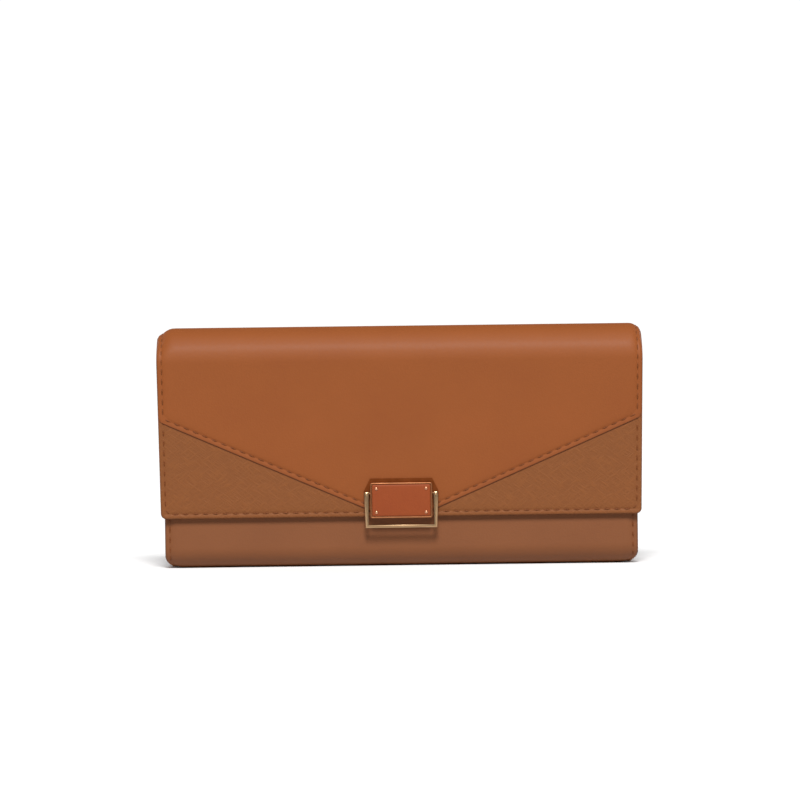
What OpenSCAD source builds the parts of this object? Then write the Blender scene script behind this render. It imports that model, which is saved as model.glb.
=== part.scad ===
// Long flap wallet with a rolled top, a zipped coin pocket between two note compartments,
// stepped card slots, side gussets and a metal clasp with a swinging bail.
// Millimetres. X is the width, -Y the front, +Z up. The origin is the middle of the base.

/* [Overall] */
// Width of the flap at the rolled top
flap_w = 195; // [165:1:235]
// Height of the closed wallet, base to the top of the roll
wallet_h = 96.5; // [82:0.5:116]
// How much wider the top of the flap is than the body, both sides together
flap_overhang = 5; // [2:0.5:8]
// How much narrower the flap is at its free edge than at the roll
flap_taper = 2.2; // [0:0.2:6]
// Height of the flap's free edge above the base
flap_edge_z = 20; // [14:1:28]

/* [Layers] */
// Thickness of the outer leather
leather_t = 1.0; // [0.8:0.1:1.3]
// Thickness of the stiffening board inside a panel
board_t = 0.8; // [0.6:0.1:1.2]
// Thickness of the fabric lining
lining_t = 0.6; // [0.4:0.1:0.9]
// Thickness of one card slot sheet
slot_t = 0.4; // [0.3:0.05:0.6]
// Depth of each note compartment, front to back
bill_gap = 4.8; // [4.6:0.2:8]
// Outer depth of the zipped coin pocket
pocket_d = 8.0; // [7.6:0.2:12]
// Thickness of the coin pocket's walls
pocket_wall_t = 0.9; // [0.6:0.1:1.2]
// Space between the closed flap and the front panel
flap_gap = 0.4; // [0.3:0.1:1]

/* [Card slots] */
// Rows of card slots on each inside face
slot_rows = 4; // [4:1:4]
// Height step from one row of slots to the next
slot_step = 11; // [8:0.5:13]

/* [Flap] */
// Height of the point on each side edge where the V overlay starts
vee_side_z = 59; // [48:1:68]
// Height where the V overlay's two edges would meet
vee_apex_z = 17; // [12:1:19]
// Radius of the flap's lower corners
flap_corner_r = 3.5; // [1:0.5:8]

/* [Clasp] */
// Width of the clasp plate
plate_w = 24.9; // [21:0.1:30]
// Height of the clasp plate
plate_h = 14.2; // [12:0.1:16.5]
// Height of the plate's lower edge above the base
plate_z = 19.5; // [17:0.1:22]
// Thickness of the clasp plate
plate_t = 1.8; // [1.6:0.1:2.4]
// Thickness of the swinging bail
bail_t = 1.1; // [0.9:0.1:1.3]
// Diameter of the bail's pivot pins
bail_pin_d = 0.8; // [0.6:0.1:0.9]
// Diameter of the hidden magnets
magnet_d = 12; // [8:0.5:14]

/* [Coin pocket zip] */
// Length of the row of zip teeth
zip_len = 150; // [120:2:154]
// Distance from one tooth to the next
tooth_pitch = 2.5; // [2:0.1:4]
// Length of the slider
slider_len = 9; // [7:0.5:12]
// Length of the pull tab from its pin
pull_len = 12; // [8:0.5:13]

/* [Fits] */
// Radial clearance of a turning pin
pin_clear = 0.05; // [0.03:0.01:0.08]
// Clearance between parts that slide past each other
slide_clear = 0.3; // [0.2:0.05:0.4]
// Gap left between two leather pieces that bend against each other
bend_gap = 0.2; // [0.1:0.05:0.3]

/* [Hidden] */
$fn = 64;
eps = 0.01;

// Every panel is leather, board and lining; the body is the stack without the flap.
wall_t = leather_t + board_t + lining_t;
slots_t = slot_rows * slot_t;
body_d = 2 * (wall_t + slots_t + bill_gap) + pocket_d;
body_w = flap_w - flap_overhang;
flap_low_w = flap_w - flap_taper;

back_y = body_d / 2;
front_y = -body_d / 2;
flap_in_y = front_y - flap_gap;
flap_out_y = flap_in_y - wall_t;

// The leather runs over the top as half a cylinder from the back panel to the flap.
roll_r = (back_y - flap_out_y) / 2;
roll_y = (back_y + flap_out_y) / 2;
roll_z = wallet_h - roll_r;
// The roll bends on three lines, at these angles from the back.
bend_angles = [30, 90, 150];
bend_gap_angle = bend_gap / roll_r * 180 / PI;

// The base turns up into the back and the front with this outer radius.
base_r = 8;
panel_z0 = base_r + bend_gap;
front_top_z = roll_z - 2.3;
front_corner_r = 3;

slot_top_z = roll_z - 6.3;
slot_side = 4;

pocket_z0 = 4.2;
pocket_top_z = roll_z - 12.3;
pocket_w = body_w - 22;
binding_w = 2;

gusset_t = 0.7;
gusset_in = 9;
gusset_clear = 1.2;

// Outline of a quarter turn or less, as points about a centre.
function arc_points(c, r, a0, a1, n = 8) =
    [for (i = [0 : n]) c + r * [cos(a0 + (a1 - a0) * i / n), sin(a0 + (a1 - a0) * i / n)]];

// Draws a shape given in X and Z as a sheet between two depths.
module sheet(y_from, y_to)
{
    translate([0, y_to, 0])
        rotate([90, 0, 0])
            linear_extrude(y_to - y_from)
                children();
}

// Turns a shape built about Z so that its axis lies along X and its angle 0 points back.
module axis_along_x(y, z)
{
    translate([0, y, z])
        rotate([90, 0, 90])
            children();
}

// Part of a tube about an axis along X, from angle a0 to a1 (0 is back, 90 is up).
module bend(y, z, r_in, r_out, a0, a1, w)
{
    axis_along_x(y, z)
        rotate([0, 0, a0])
            rotate_extrude(angle = a1 - a0)
                translate([r_in, -w / 2])
                    square([r_out - r_in, w]);
}

// A slice of the rolled top, short of its bend lines by half a gap.
module roll_slice(depth_in, depth_out, a0, a1)
{
    bend(roll_y, roll_z, roll_r - depth_in, roll_r - depth_out, a0, a1, flap_w);
}

// Trapezium between two heights, with rounded lower corners.
module tapered_panel(z0, z1, w0, w1, r)
{
    polygon(concat(
        [[-w1 / 2, z1]],
        arc_points([-w0 / 2 + r, z0 + r], r, 180, 270),
        arc_points([w0 / 2 - r, z0 + r], r, 270, 360),
        [[w1 / 2, z1]]));
}

// Rectangle between two heights, with rounded upper corners.
module topped_panel(z0, z1, w, r)
{
    polygon(concat(
        [[w / 2, z0]],
        arc_points([w / 2 - r, z1 - r], r, 0, 90),
        arc_points([-w / 2 + r, z1 - r], r, 90, 180),
        [[-w / 2, z0]]));
}

// ---------------------------------------------------------------- back and base

// One layer of the back: a flat panel that widens to the roll, and the first turn of the roll.
module back_layer(depth_out, depth_in)
{
    sheet(back_y - depth_in, back_y - depth_out)
        polygon([[-body_w / 2, base_r], [body_w / 2, base_r],
                 [flap_w / 2, roll_z], [-flap_w / 2, roll_z]]);
    roll_slice(depth_in, depth_out, 0, bend_angles[0] - bend_gap_angle / 2);
}

module back_leather()
{
    color("sienna")
        back_layer(0, leather_t);
}

module back_board()
{
    color("tan")
        sheet(back_y - leather_t - board_t, back_y - leather_t)
            polygon([[-body_w / 2 + 2, base_r + 1], [body_w / 2 - 2, base_r + 1],
                     [body_w / 2 - 2, roll_z - 1], [-body_w / 2 + 2, roll_z - 1]]);
}

// The lining lies on the board, and turns with the leather at the top.
module back_lining()
{
    color("peru")
    {
        sheet(back_y - wall_t, back_y - leather_t - board_t)
            polygon([[-body_w / 2, base_r], [body_w / 2, base_r],
                     [flap_w / 2, roll_z], [-flap_w / 2, roll_z]]);
        roll_slice(wall_t, leather_t + board_t, 0, bend_angles[0] - bend_gap_angle / 2);
    }
}

// One layer of the base: flat in the middle, turning up at the back and the front.
module base_layer(depth_out, depth_in)
{
    r_out = base_r - depth_out;
    r_in = base_r - depth_in;
    translate([-body_w / 2, front_y + base_r, depth_out])
        cube([body_w, body_d - 2 * base_r, depth_in - depth_out]);
    bend(back_y - base_r, base_r, r_in, r_out, -90, 0, body_w);
    bend(front_y + base_r, base_r, r_in, r_out, 180, 270, body_w);
}

module base_leather()
{
    color("sienna")
        base_layer(0, leather_t);
}

module base_lining()
{
    color("peru")
        base_layer(leather_t, wall_t - board_t);
}

// ---------------------------------------------------------------- card slots

// Row 0 is the tallest sheet and lies against the panel; each next one is shorter.
module slot_sheet(row, y_wall, inward)
{
    y_a = y_wall + inward * row * slot_t;
    y_b = y_a + inward * slot_t;
    sheet(min(y_a, y_b), max(y_a, y_b))
        topped_panel(base_r + 1, slot_top_z - row * slot_step, body_w - 2 * slot_side, 2);
}

module back_slots(row)
{
    color("chocolate")
        slot_sheet(row, back_y - wall_t, -1);
}

module front_slots(row)
{
    color("chocolate")
        slot_sheet(row, front_y + wall_t, 1);
}

// ---------------------------------------------------------------- gussets

// A side gusset: a strip folded inward in a V, from near y_a to near y_b.
module gusset(side, y_a, y_b)
{
    x_out = body_w / 2 - 0.5;
    x_fold = x_out - gusset_in;
    y_mid = (y_a + y_b) / 2;
    t = gusset_t;
    translate([0, 0, base_r])
        linear_extrude(slot_top_z - base_r)
            polygon([for (p = [[x_out, y_a], [x_out, y_a - t], [x_fold + t, y_mid],
                               [x_out, y_b + t], [x_out, y_b], [x_fold, y_mid]])
                     [side * p[0], p[1]]]);
}

// The rear pair hangs on the back panel, clear of the coin pocket's swing.
module gusset_rear(side)
{
    color("sienna")
        gusset(side, back_y - wall_t - slots_t - eps, pocket_d / 2 + gusset_clear);
}

module gusset_front(side)
{
    color("sienna")
        gusset(side, -pocket_d / 2 - gusset_clear, front_y + wall_t + slots_t + eps);
}

// ---------------------------------------------------------------- front panel

module front_sheet(depth_out, depth_in)
{
    sheet(front_y + depth_out, front_y + depth_in)
        topped_panel(panel_z0, front_top_z, body_w, front_corner_r);
}

module front_leather()
{
    color("sienna")
        front_sheet(0, leather_t);
}

module magnet_hole(y_from, y_to, d)
{
    translate([0, y_to, magnet_z])
        rotate([90, 0, 0])
            cylinder(h = y_to - y_from, d = d);
}

module front_board()
{
    y_out = front_y + leather_t;
    color("tan")
        difference()
        {
            sheet(y_out, y_out + board_t)
                topped_panel(panel_z0 + 1, front_top_z - 2, body_w - 4, 2);
            magnet_hole(y_out - 1, y_out + board_t + 1, magnet_d + 2 * pin_clear);
        }
}

module front_magnet()
{
    y_out = front_y + leather_t;
    color("dimgray")
        magnet_hole(y_out, y_out + board_t, magnet_d);
}

module front_lining()
{
    color("peru")
        front_sheet(leather_t + board_t, wall_t);
}

// ---------------------------------------------------------------- coin pocket and zip

// The front wall carries the turned-under bottom of the pocket.
module pocket_front()
{
    color("chocolate")
    {
        sheet(-pocket_d / 2, -pocket_d / 2 + pocket_wall_t)
            translate([-pocket_w / 2, pocket_z0])
                square([pocket_w, pocket_top_z - pocket_z0]);
        translate([-pocket_w / 2, -pocket_d / 2, pocket_z0])
            cube([pocket_w, pocket_d - pocket_wall_t, pocket_wall_t]);
    }
}

module pocket_back()
{
    color("chocolate")
        sheet(pocket_d / 2 - pocket_wall_t, pocket_d / 2)
            translate([-pocket_w / 2, pocket_z0])
                square([pocket_w, pocket_top_z - pocket_z0]);
}

// The binding closes each end of the pocket between its walls.
module pocket_binding(side)
{
    color("sienna")
        translate([side * (pocket_w - binding_w) / 2, 0, (pocket_z0 + pocket_wall_t + pocket_top_z) / 2])
            cube([binding_w, pocket_d - 2 * pocket_wall_t, pocket_top_z - pocket_z0 - pocket_wall_t],
                 center = true);
}

// The zip lies across the pocket's mouth: side -1 is the front tape, 1 the back tape.
tape_t = 0.6;
tape_z = pocket_top_z - tape_t;
chain_gap = 0.9;
tooth_h = 1.8;
tooth_w = 1.2;
tooth_reach = 1.5;
tooth_count = floor(zip_len / tooth_pitch);
chain_z = tape_z + tape_t / 2;

module zip_tape(side)
{
    y_in = chain_gap / 2 + 0.4;
    y_out = pocket_d / 2 - pocket_wall_t;
    color("saddlebrown")
        translate([-pocket_w / 2 + binding_w, side > 0 ? y_in : -y_out, tape_z])
            cube([pocket_w - 2 * binding_w, y_out - y_in, tape_t]);
}

// Each tooth is a small block clamped over the tape's edge.
module zip_teeth(side)
{
    color("goldenrod")
        for (i = [0 : tooth_count - 1])
            translate([-zip_len / 2 + (i + (side > 0 ? 0.75 : 0.25)) * tooth_pitch,
                       side * (chain_gap / 2 + tooth_reach / 2), chain_z])
                difference()
                {
                    cube([tooth_w, tooth_reach, tooth_h], center = true);
                    translate([0, side * 0.4, 0])
                        cube([tooth_w + 1, tooth_reach, tape_t], center = true);
                }
}

// A metal stop past each end of the row of teeth.
module zip_stops()
{
    color("goldenrod")
        for (side = [-1, 1])
            translate([side * (zip_len / 2 + 1.2), 0, tape_z + tape_t + 0.5])
                cube([2, 4, 1], center = true);
}

plate_gap = slide_clear;
slider_plate_t = 0.8;
slider_w = 5.4;
slider_top_z = chain_z + tooth_h / 2 + plate_gap;
slider_low_z = chain_z - tooth_h / 2 - plate_gap - slider_plate_t;
slider_rest_x = zip_len / 2 - slider_len / 2;
lug_t = 0.8;
pull_pin_d = 1.0;
pull_eye_w = 2.2;
pull_eye_r = 1.2;
pull_t = 1.2;
pull_z = slider_top_z + slider_plate_t + pull_eye_r + 0.15;

// Two plates over and under the teeth, a web between the rows, and lugs with a pin.
module zip_slider()
{
    color("goldenrod")
        translate([slider_rest_x, 0, 0])
        {
            translate([-slider_len / 2, -slider_w / 2, slider_top_z])
                cube([slider_len, slider_w, slider_plate_t]);
            translate([-slider_len / 2, -slider_w / 2, slider_low_z])
                cube([slider_len, slider_w, slider_plate_t]);
            translate([0, 0, chain_z])
                cube([slider_len / 3, chain_gap - 0.4, tooth_h + 2 * plate_gap + 2 * eps], center = true);
            for (side = [-1, 1])
                slider_lug(side);
            translate([0, pull_eye_w / 2 + slide_clear / 2 + lug_t, pull_z])
                rotate([90, 0, 0])
                    cylinder(h = pull_eye_w + slide_clear + 2 * lug_t, d = pull_pin_d);
        }
}

// One lug of the slider: a post with a round top about the pull's pin.
module slider_lug(side)
{
    y = side * (pull_eye_w / 2 + slide_clear / 2 + lug_t / 2);
    lug_w = 2.2;
    z0 = slider_top_z + slider_plate_t - eps;
    translate([-lug_w / 2, y - lug_t / 2, z0])
        cube([lug_w, lug_t, pull_z - z0]);
    translate([0, y + lug_t / 2, pull_z])
        rotate([90, 0, 0])
            cylinder(h = lug_t, d = lug_w);
}

// The pull: an eye round the pin and a flat tab lying along the chain.
module zip_pull()
{
    tab_w = 4.2;
    neck_len = 3;
    color("goldenrod")
        translate([slider_rest_x, 0, pull_z])
            difference()
            {
                union()
                {
                    translate([0, pull_eye_w / 2, 0])
                        rotate([90, 0, 0])
                            cylinder(h = pull_eye_w, r = pull_eye_r);
                    translate([0, -pull_eye_w / 2, -pull_t / 2])
                        cube([neck_len, pull_eye_w, pull_t]);
                    translate([neck_len - eps, -tab_w / 2, -pull_t / 2])
                        cube([pull_len - neck_len - tab_w / 2, tab_w, pull_t]);
                    translate([pull_len - tab_w / 2, 0, -pull_t / 2])
                        cylinder(h = pull_t, d = tab_w);
                }
                translate([0, pull_eye_w / 2 + 1, 0])
                    rotate([90, 0, 0])
                        cylinder(h = pull_eye_w + 2, d = pull_pin_d + 2 * pin_clear);
            }
}

// ---------------------------------------------------------------- rolled top

module roll_back_leather()
{
    color("sienna")
        roll_slice(leather_t, 0, bend_angles[0] + bend_gap_angle / 2, bend_angles[1] - bend_gap_angle / 2);
}

module roll_back_lining()
{
    color("peru")
        roll_slice(wall_t, leather_t, bend_angles[0] + bend_gap_angle / 2, bend_angles[1] - bend_gap_angle / 2);
}

module roll_front_leather()
{
    color("sienna")
        roll_slice(leather_t, 0, bend_angles[1] + bend_gap_angle / 2, bend_angles[2] - bend_gap_angle / 2);
}

module roll_front_lining()
{
    color("peru")
        roll_slice(wall_t, leather_t, bend_angles[1] + bend_gap_angle / 2, bend_angles[2] - bend_gap_angle / 2);
}

// ---------------------------------------------------------------- flap

corner_leather_t = leather_t - 0.4;
rivet_d = 2;
rivet_head_d = 3.4;
rivet_head_t = 0.3;
rivet_x = 8.5;
magnet_z = plate_z + plate_h / 2 + 1.5;

// Half width of the flap at a height, as its sides taper.
function flap_half(z) = flap_low_w / 2 + (flap_w - flap_low_w) / 2 * (z - flap_edge_z) / (roll_z - flap_edge_z);
// Slope of the V overlay's edge, and its half width at the flap's free edge.
vee_slope = (vee_side_z - vee_apex_z) / flap_half(vee_side_z);
vee_low_half = (flap_edge_z - vee_apex_z) / vee_slope;

module rivet_holes(d)
{
    for (side = [-1, 1])
        translate([side * rivet_x, flap_in_y + 1, magnet_z])
            rotate([90, 0, 0])
                cylinder(h = wall_t + 2, d = d);
}

module flap_outline()
{
    tapered_panel(flap_edge_z, roll_z + eps, flap_low_w, flap_w, flap_corner_r);
}

// Smooth outer leather: over the roll, down the flap and to a V at the clasp.
module flap_overlay()
{
    color("sienna")
    {
        difference()
        {
            sheet(flap_out_y, flap_out_y + leather_t)
                polygon([[-vee_low_half, flap_edge_z], [vee_low_half, flap_edge_z],
                         [flap_half(vee_side_z), vee_side_z], [flap_w / 2, roll_z + eps],
                         [-flap_w / 2, roll_z + eps], [-flap_half(vee_side_z), vee_side_z]]);
            rivet_holes(rivet_d + 2 * pin_clear);
        }
        roll_slice(leather_t, 0, bend_angles[2] + bend_gap_angle / 2, 180);
    }
}

// Cross-grain leather in a lower corner, thinner than the overlay beside it.
module flap_corner(side)
{
    seam = 0.05;
    color("sienna")
        sheet(flap_out_y + leather_t - corner_leather_t, flap_out_y + leather_t)
            intersection()
            {
                flap_outline();
                polygon([[side * (vee_low_half + seam), flap_edge_z - 1],
                         [side * (vee_low_half + seam), flap_edge_z],
                         [side * (flap_half(vee_side_z) + seam), vee_side_z],
                         [side * flap_w, vee_side_z],
                         [side * flap_w, flap_edge_z - 1]]);
            }
}

module flap_board()
{
    y_out = flap_out_y + leather_t;
    color("tan")
        difference()
        {
            sheet(y_out, y_out + board_t)
                tapered_panel(flap_edge_z + 1.5, roll_z - 1, flap_low_w - 3, flap_w - 3, 2);
            magnet_hole(y_out - 1, y_out + board_t + 1, magnet_d + 2 * pin_clear);
            rivet_holes(rivet_d + 2 * pin_clear);
            for (side = [-1, 1])
                translate([side * rivet_x, y_out + board_t + eps, magnet_z])
                    rotate([90, 0, 0])
                        cylinder(h = rivet_head_t + 2 * eps, d = rivet_head_d + 2 * pin_clear);
        }
}

module flap_magnet()
{
    y_out = flap_out_y + leather_t;
    color("dimgray")
        magnet_hole(y_out, y_out + board_t, magnet_d);
}

// The lining backs the whole flap and the last turn of the roll.
module flap_lining()
{
    color("peru")
    {
        sheet(flap_in_y - lining_t, flap_in_y)
            flap_outline();
        roll_slice(wall_t, leather_t + board_t, bend_angles[2] + bend_gap_angle / 2, 180);
    }
}

// ---------------------------------------------------------------- clasp

backplate_t = 0.5;
backplate_y = flap_out_y - backplate_t;
plate_y = backplate_y - plate_t;
plate_top_z = plate_z + plate_h;
inlay_margin = 0.7;
inlay_depth = 0.5;
inlay_t = 0.9;
inlay_y = plate_y + inlay_depth;
stud_x = 9.95 * plate_w / 24.9;
stud_z = 4.75 * plate_h / 14.2;
stud_d = 0.8;
stud_head_d = 1.5;
stud_head_t = 0.35;
bail_gap = 0.3;
bail_z = plate_z + 10;
bail_y = backplate_y - 0.95;
bail_in = plate_w / 2 + bail_gap;
bail_top_out = plate_w / 2 + 2.5;
bail_low_out = plate_w / 2 + 1.9;
bail_low_in = bail_low_out - 1.2;
bail_bar_z = plate_z - 3.9;
bail_bar_h = 1.3;
bail_pin_len = 0.55;

// Thin plate against the leather, with slanted shoulders over the bail's pivots.
module clasp_backplate()
{
    shoulder_z = bail_z + 0.9;
    top_half = plate_w / 2;
    color("darkgoldenrod")
        difference()
        {
            sheet(backplate_y, flap_out_y)
                polygon([[-top_half + 1, flap_edge_z + 0.5], [top_half - 1, flap_edge_z + 0.5],
                         [top_half - 1, bail_z - 1.5], [bail_top_out, bail_z - 1.5],
                         [bail_top_out, shoulder_z], [top_half, plate_top_z + 1.7],
                         [-top_half, plate_top_z + 1.7], [-bail_top_out, shoulder_z],
                         [-bail_top_out, bail_z - 1.5], [-top_half + 1, bail_z - 1.5]]);
            translate([0, -wall_t, 0])
                rivet_holes(rivet_d + 2 * pin_clear);
        }
}

// The plate: a tray for the leather inlay, with bores for the bail's pins and for the studs.
module clasp_plate()
{
    color("gold")
        difference()
        {
            translate([-plate_w / 2, plate_y, plate_z])
                cube([plate_w, plate_t, plate_h]);
            translate([-plate_w / 2 + inlay_margin, plate_y - 1, plate_z + inlay_margin])
                cube([plate_w - 2 * inlay_margin, inlay_depth + 1, plate_h - 2 * inlay_margin]);
            for (side = [-1, 1])
                translate([side * (plate_w / 2 - bail_pin_len / 2 + 1 - eps), bail_y, bail_z])
                    rotate([0, 90, 0])
                        cylinder(h = bail_pin_len + 2, d = bail_pin_d + 2 * pin_clear, center = true);
            stud_places()
                cylinder(h = inlay_t + 0.5, d = stud_d + 2 * pin_clear);
        }
}

// Puts its children at the four studs, each turned to point forward from the plate's floor.
module stud_places()
{
    for (sx = [-1, 1])
        for (sz = [-1, 1])
            translate([sx * stud_x, inlay_y + 0.5, plate_z + plate_h / 2 + sz * stud_z])
                rotate([90, 0, 0])
                    children();
}

module clasp_inlay()
{
    fit = 0.05;
    color("sienna")
        difference()
        {
            translate([-plate_w / 2 + inlay_margin + fit, inlay_y - inlay_t, plate_z + inlay_margin + fit])
                cube([plate_w - 2 * inlay_margin - 2 * fit, inlay_t, plate_h - 2 * inlay_margin - 2 * fit]);
            stud_places()
                cylinder(h = inlay_t + 1, d = stud_d + 2 * pin_clear);
        }
}

// Four rivets with round heads hold the inlay.
module clasp_studs()
{
    color("gold")
        stud_places()
        {
            cylinder(h = inlay_t + 0.5 + stud_head_t, d = stud_d);
            translate([0, 0, inlay_t + 0.5])
                cylinder(h = stud_head_t, d = stud_head_d);
        }
}

// Two rivets fix the plate through the flap's leather and board.
module clasp_rivets()
{
    head_y = flap_out_y + leather_t + board_t;
    color("silver")
        for (side = [-1, 1])
            translate([side * rivet_x, head_y, magnet_z])
                rotate([90, 0, 0])
                {
                    cylinder(h = head_y - backplate_y, d = rivet_d);
                    cylinder(h = rivet_head_t, d = rivet_head_d);
                }
}

// The bail: a U that hangs round the plate on two pins, with round knuckles.
module clasp_bail()
{
    color("gold")
    {
        sheet(bail_y - bail_t / 2, bail_y + bail_t / 2)
            polygon([[-bail_top_out, bail_z], [-bail_low_out, bail_bar_z], [bail_low_out, bail_bar_z],
                     [bail_top_out, bail_z], [bail_in, bail_z], [bail_low_in, bail_bar_z + bail_bar_h],
                     [-bail_low_in, bail_bar_z + bail_bar_h], [-bail_in, bail_z]]);
        for (side = [-1, 1])
        {
            translate([side * (bail_in + bail_top_out) / 2, bail_y, bail_z])
                rotate([0, 90, 0])
                    cylinder(h = bail_top_out - bail_in, d = bail_t, center = true);
            translate([side * (bail_in + eps - (bail_gap + bail_pin_len - 0.05) / 2), bail_y, bail_z])
                rotate([0, 90, 0])
                    cylinder(h = bail_gap + bail_pin_len - 0.05, d = bail_pin_d, center = true);
        }
    }
}

back_leather();
back_board();
back_lining();
base_leather();
base_lining();
back_slots(0);  // back_slots_1
back_slots(1);  // back_slots_2
back_slots(2);  // back_slots_3
back_slots(3);  // back_slots_4
gusset_rear(-1);  // gusset_rear_left
gusset_rear(1);  // gusset_rear_right
front_leather();
front_board();
front_magnet();
front_lining();
front_slots(0);  // front_slots_1
front_slots(1);  // front_slots_2
front_slots(2);  // front_slots_3
front_slots(3);  // front_slots_4
gusset_front(-1);  // gusset_front_left
gusset_front(1);  // gusset_front_right
pocket_front();
pocket_back();
pocket_binding(-1);  // pocket_binding_left
pocket_binding(1);  // pocket_binding_right
zip_tape(-1);  // zip_tape_front
zip_tape(1);  // zip_tape_back
zip_teeth(-1);  // zip_teeth_front
zip_teeth(1);  // zip_teeth_back
zip_stops();
zip_slider();
zip_pull();
roll_back_leather();
roll_back_lining();
roll_front_leather();
roll_front_lining();
flap_overlay();
flap_corner(-1);  // flap_corner_left
flap_corner(1);  // flap_corner_right
flap_board();
flap_magnet();
flap_lining();
clasp_backplate();
clasp_plate();
clasp_inlay();
clasp_studs();
clasp_rivets();
clasp_bail();
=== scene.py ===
"""Long flap wallet: leather shell, V-cut flap on cross-grain corners, gold clasp, zipped coin pocket."""
import math

import bmesh
import bpy
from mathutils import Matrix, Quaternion, Vector


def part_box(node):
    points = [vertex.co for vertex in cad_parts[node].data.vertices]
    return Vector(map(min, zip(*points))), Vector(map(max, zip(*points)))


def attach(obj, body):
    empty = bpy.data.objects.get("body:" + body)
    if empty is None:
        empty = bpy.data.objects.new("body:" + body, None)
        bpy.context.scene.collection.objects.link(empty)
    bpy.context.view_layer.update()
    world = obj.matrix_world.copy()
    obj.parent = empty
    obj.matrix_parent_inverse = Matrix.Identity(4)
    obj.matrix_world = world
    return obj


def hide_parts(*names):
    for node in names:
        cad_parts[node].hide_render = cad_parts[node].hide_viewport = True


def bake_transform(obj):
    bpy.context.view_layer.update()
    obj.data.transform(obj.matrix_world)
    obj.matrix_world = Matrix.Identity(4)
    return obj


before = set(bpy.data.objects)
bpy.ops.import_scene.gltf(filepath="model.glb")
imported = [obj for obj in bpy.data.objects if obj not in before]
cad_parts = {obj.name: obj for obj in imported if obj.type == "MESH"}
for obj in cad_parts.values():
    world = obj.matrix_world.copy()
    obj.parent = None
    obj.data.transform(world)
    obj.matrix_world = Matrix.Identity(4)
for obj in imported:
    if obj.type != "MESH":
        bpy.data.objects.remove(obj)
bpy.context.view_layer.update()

MM = 0.001

# ------------------------------------------------------------------ sizes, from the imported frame


def low(node):
    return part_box(node)[0]


def high(node):
    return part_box(node)[1]


BACK_Y = high("back_leather").y
FRONT_Y = low("front_leather").y
FLAP_Y = low("flap_overlay").y
TOP_Z = high("roll_back_leather").z
ROLL_R = (BACK_Y - FLAP_Y) / 2
ROLL_Y = (BACK_Y + FLAP_Y) / 2
ROLL_Z = TOP_Z - ROLL_R
BASE_R = high("base_leather").z
FLAP_HALF = high("roll_back_leather").x
BODY_HALF = high("base_leather").x
FLAP_EDGE_Z = low("flap_lining").z
FLAP_LOW_HALF = FLAP_HALF - 1.1 * MM
FRONT_TOP_Z = high("front_leather").z
# A panel is outer leather, board and lining; its two faces meet in the middle of a turned edge.
WALL = high("front_lining").y - FRONT_Y
HALF_WALL = WALL / 2

# The V overlay starts on the sides at this height, and its two edges would meet at the other.
VEE_SIDE_Z = high("flap_corner_left").z
VEE_SLOPE = math.tan(math.radians(23.4))
VEE_APEX_Z = VEE_SIDE_Z - VEE_SLOPE * (FLAP_HALF - 0.4 * MM)

# The corner leather lies this far under the overlay's face.
VEE_DROP = 0.5 * MM
CORNER_R = 2.2 * MM
FRONT_CORNER_R = 3 * MM
TUCK_HEIGHT, TUCK_DEPTH = 4.4 * MM, 3.4 * MM
# How far in each end of the roll droops, how deep, and the power of the curve.
LEFT_DROOP = (6.5 * MM, 2.9 * MM, 1.5)
RIGHT_DROOP = (4.2 * MM, 2.1 * MM, 2.4)
# The twill panel stops this far inside the flap's edges, and this far below the roll.
PANEL_BORDER = 6 * MM
PANEL_TOP = 3 * MM
THIN_LEATHER = 0.8 * MM

STITCH_LEN = 3.0 * MM
STITCH_PITCH = 4.0 * MM
STITCH_INSET = 2.0 * MM
THREAD_R = 0.25 * MM
FINE_THREAD_R = 0.2 * MM

# The roll is three lengths of leather. The first two, with their tags,
# the angles where they start and end, and the bodies that they join. The third goes on to the flap.
ROLL_SPANS = [("a", 0, 60, "back", "roll_back"), ("b", 60, 120, "roll_back", "roll_front")]
FLAP_ANGLE = 120
# Rows of points along each of them.
ARC_ROWS = 40

# Points nearer than this, in metres, are joined.
WELD = 0.5e-6

# ------------------------------------------------------------------ material helpers


def linear(hex_colour):
    """An sRGB hex colour as linear RGBA."""
    out = []
    for i in (1, 3, 5):
        c = int(hex_colour[i:i + 2], 16) / 255
        out.append(c / 12.92 if c <= 0.04045 else ((c + 0.055) / 1.055) ** 2.4)
    return (*out, 1.0)


def start_material(name):
    """A new node material, its tree and its Principled shader."""
    mat = bpy.data.materials.new(name)
    mat.use_nodes = True
    return mat, mat.node_tree, mat.node_tree.nodes["Principled BSDF"]


def add(tree, kind, settings=None, inputs=None, out=None):
    """Adds a shader node and returns one of its outputs, the first in use if none is named.

    Settings are the node's own properties; "stops" are a ramp's (place, hex colour) pairs. Inputs go by
    name or number, and each is a link, a hex colour or a plain value."""
    node = tree.nodes.new("ShaderNode" + kind)
    for key, value in (settings or {}).items():
        if key == "stops":
            elements = node.color_ramp.elements
            while len(elements) < len(value):
                elements.new(0.5)
            for element, (place, colour) in zip(elements, value):
                element.position, element.color = place, linear(colour)
        else:
            setattr(node, key, value)
    for key, value in (inputs or {}).items():
        feed(tree, node.inputs[key], value)
    return node.outputs[out] if out else next(o for o in node.outputs if o.enabled)


def feed(tree, socket, value):
    """Links a socket to an output, or sets it to a hex colour or a plain value."""
    if isinstance(value, bpy.types.NodeSocket):
        tree.links.new(value, socket)
    else:
        socket.default_value = linear(value) if isinstance(value, str) else value


def shade(tree, shader, **values):
    """Feeds the shader's sockets, named with _ for a space."""
    for key, value in values.items():
        feed(tree, shader.inputs[key.replace("_", " ")], value)


# Number of the colour inputs of a Mix node set to colours, and its factor's.
MIX_FACTOR, MIX_A, MIX_B = 0, 6, 7
# Blender's wave texture fits about this many bands into a length of 1 / Scale.
WAVE = math.tau / 2
# The dark paint on a cut edge, which on the V's edge is partly painted shade under the overlay's step.
EDGE_PAINT_AND_SHADE = "#4a2413"

# ------------------------------------------------------------------ materials


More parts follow.
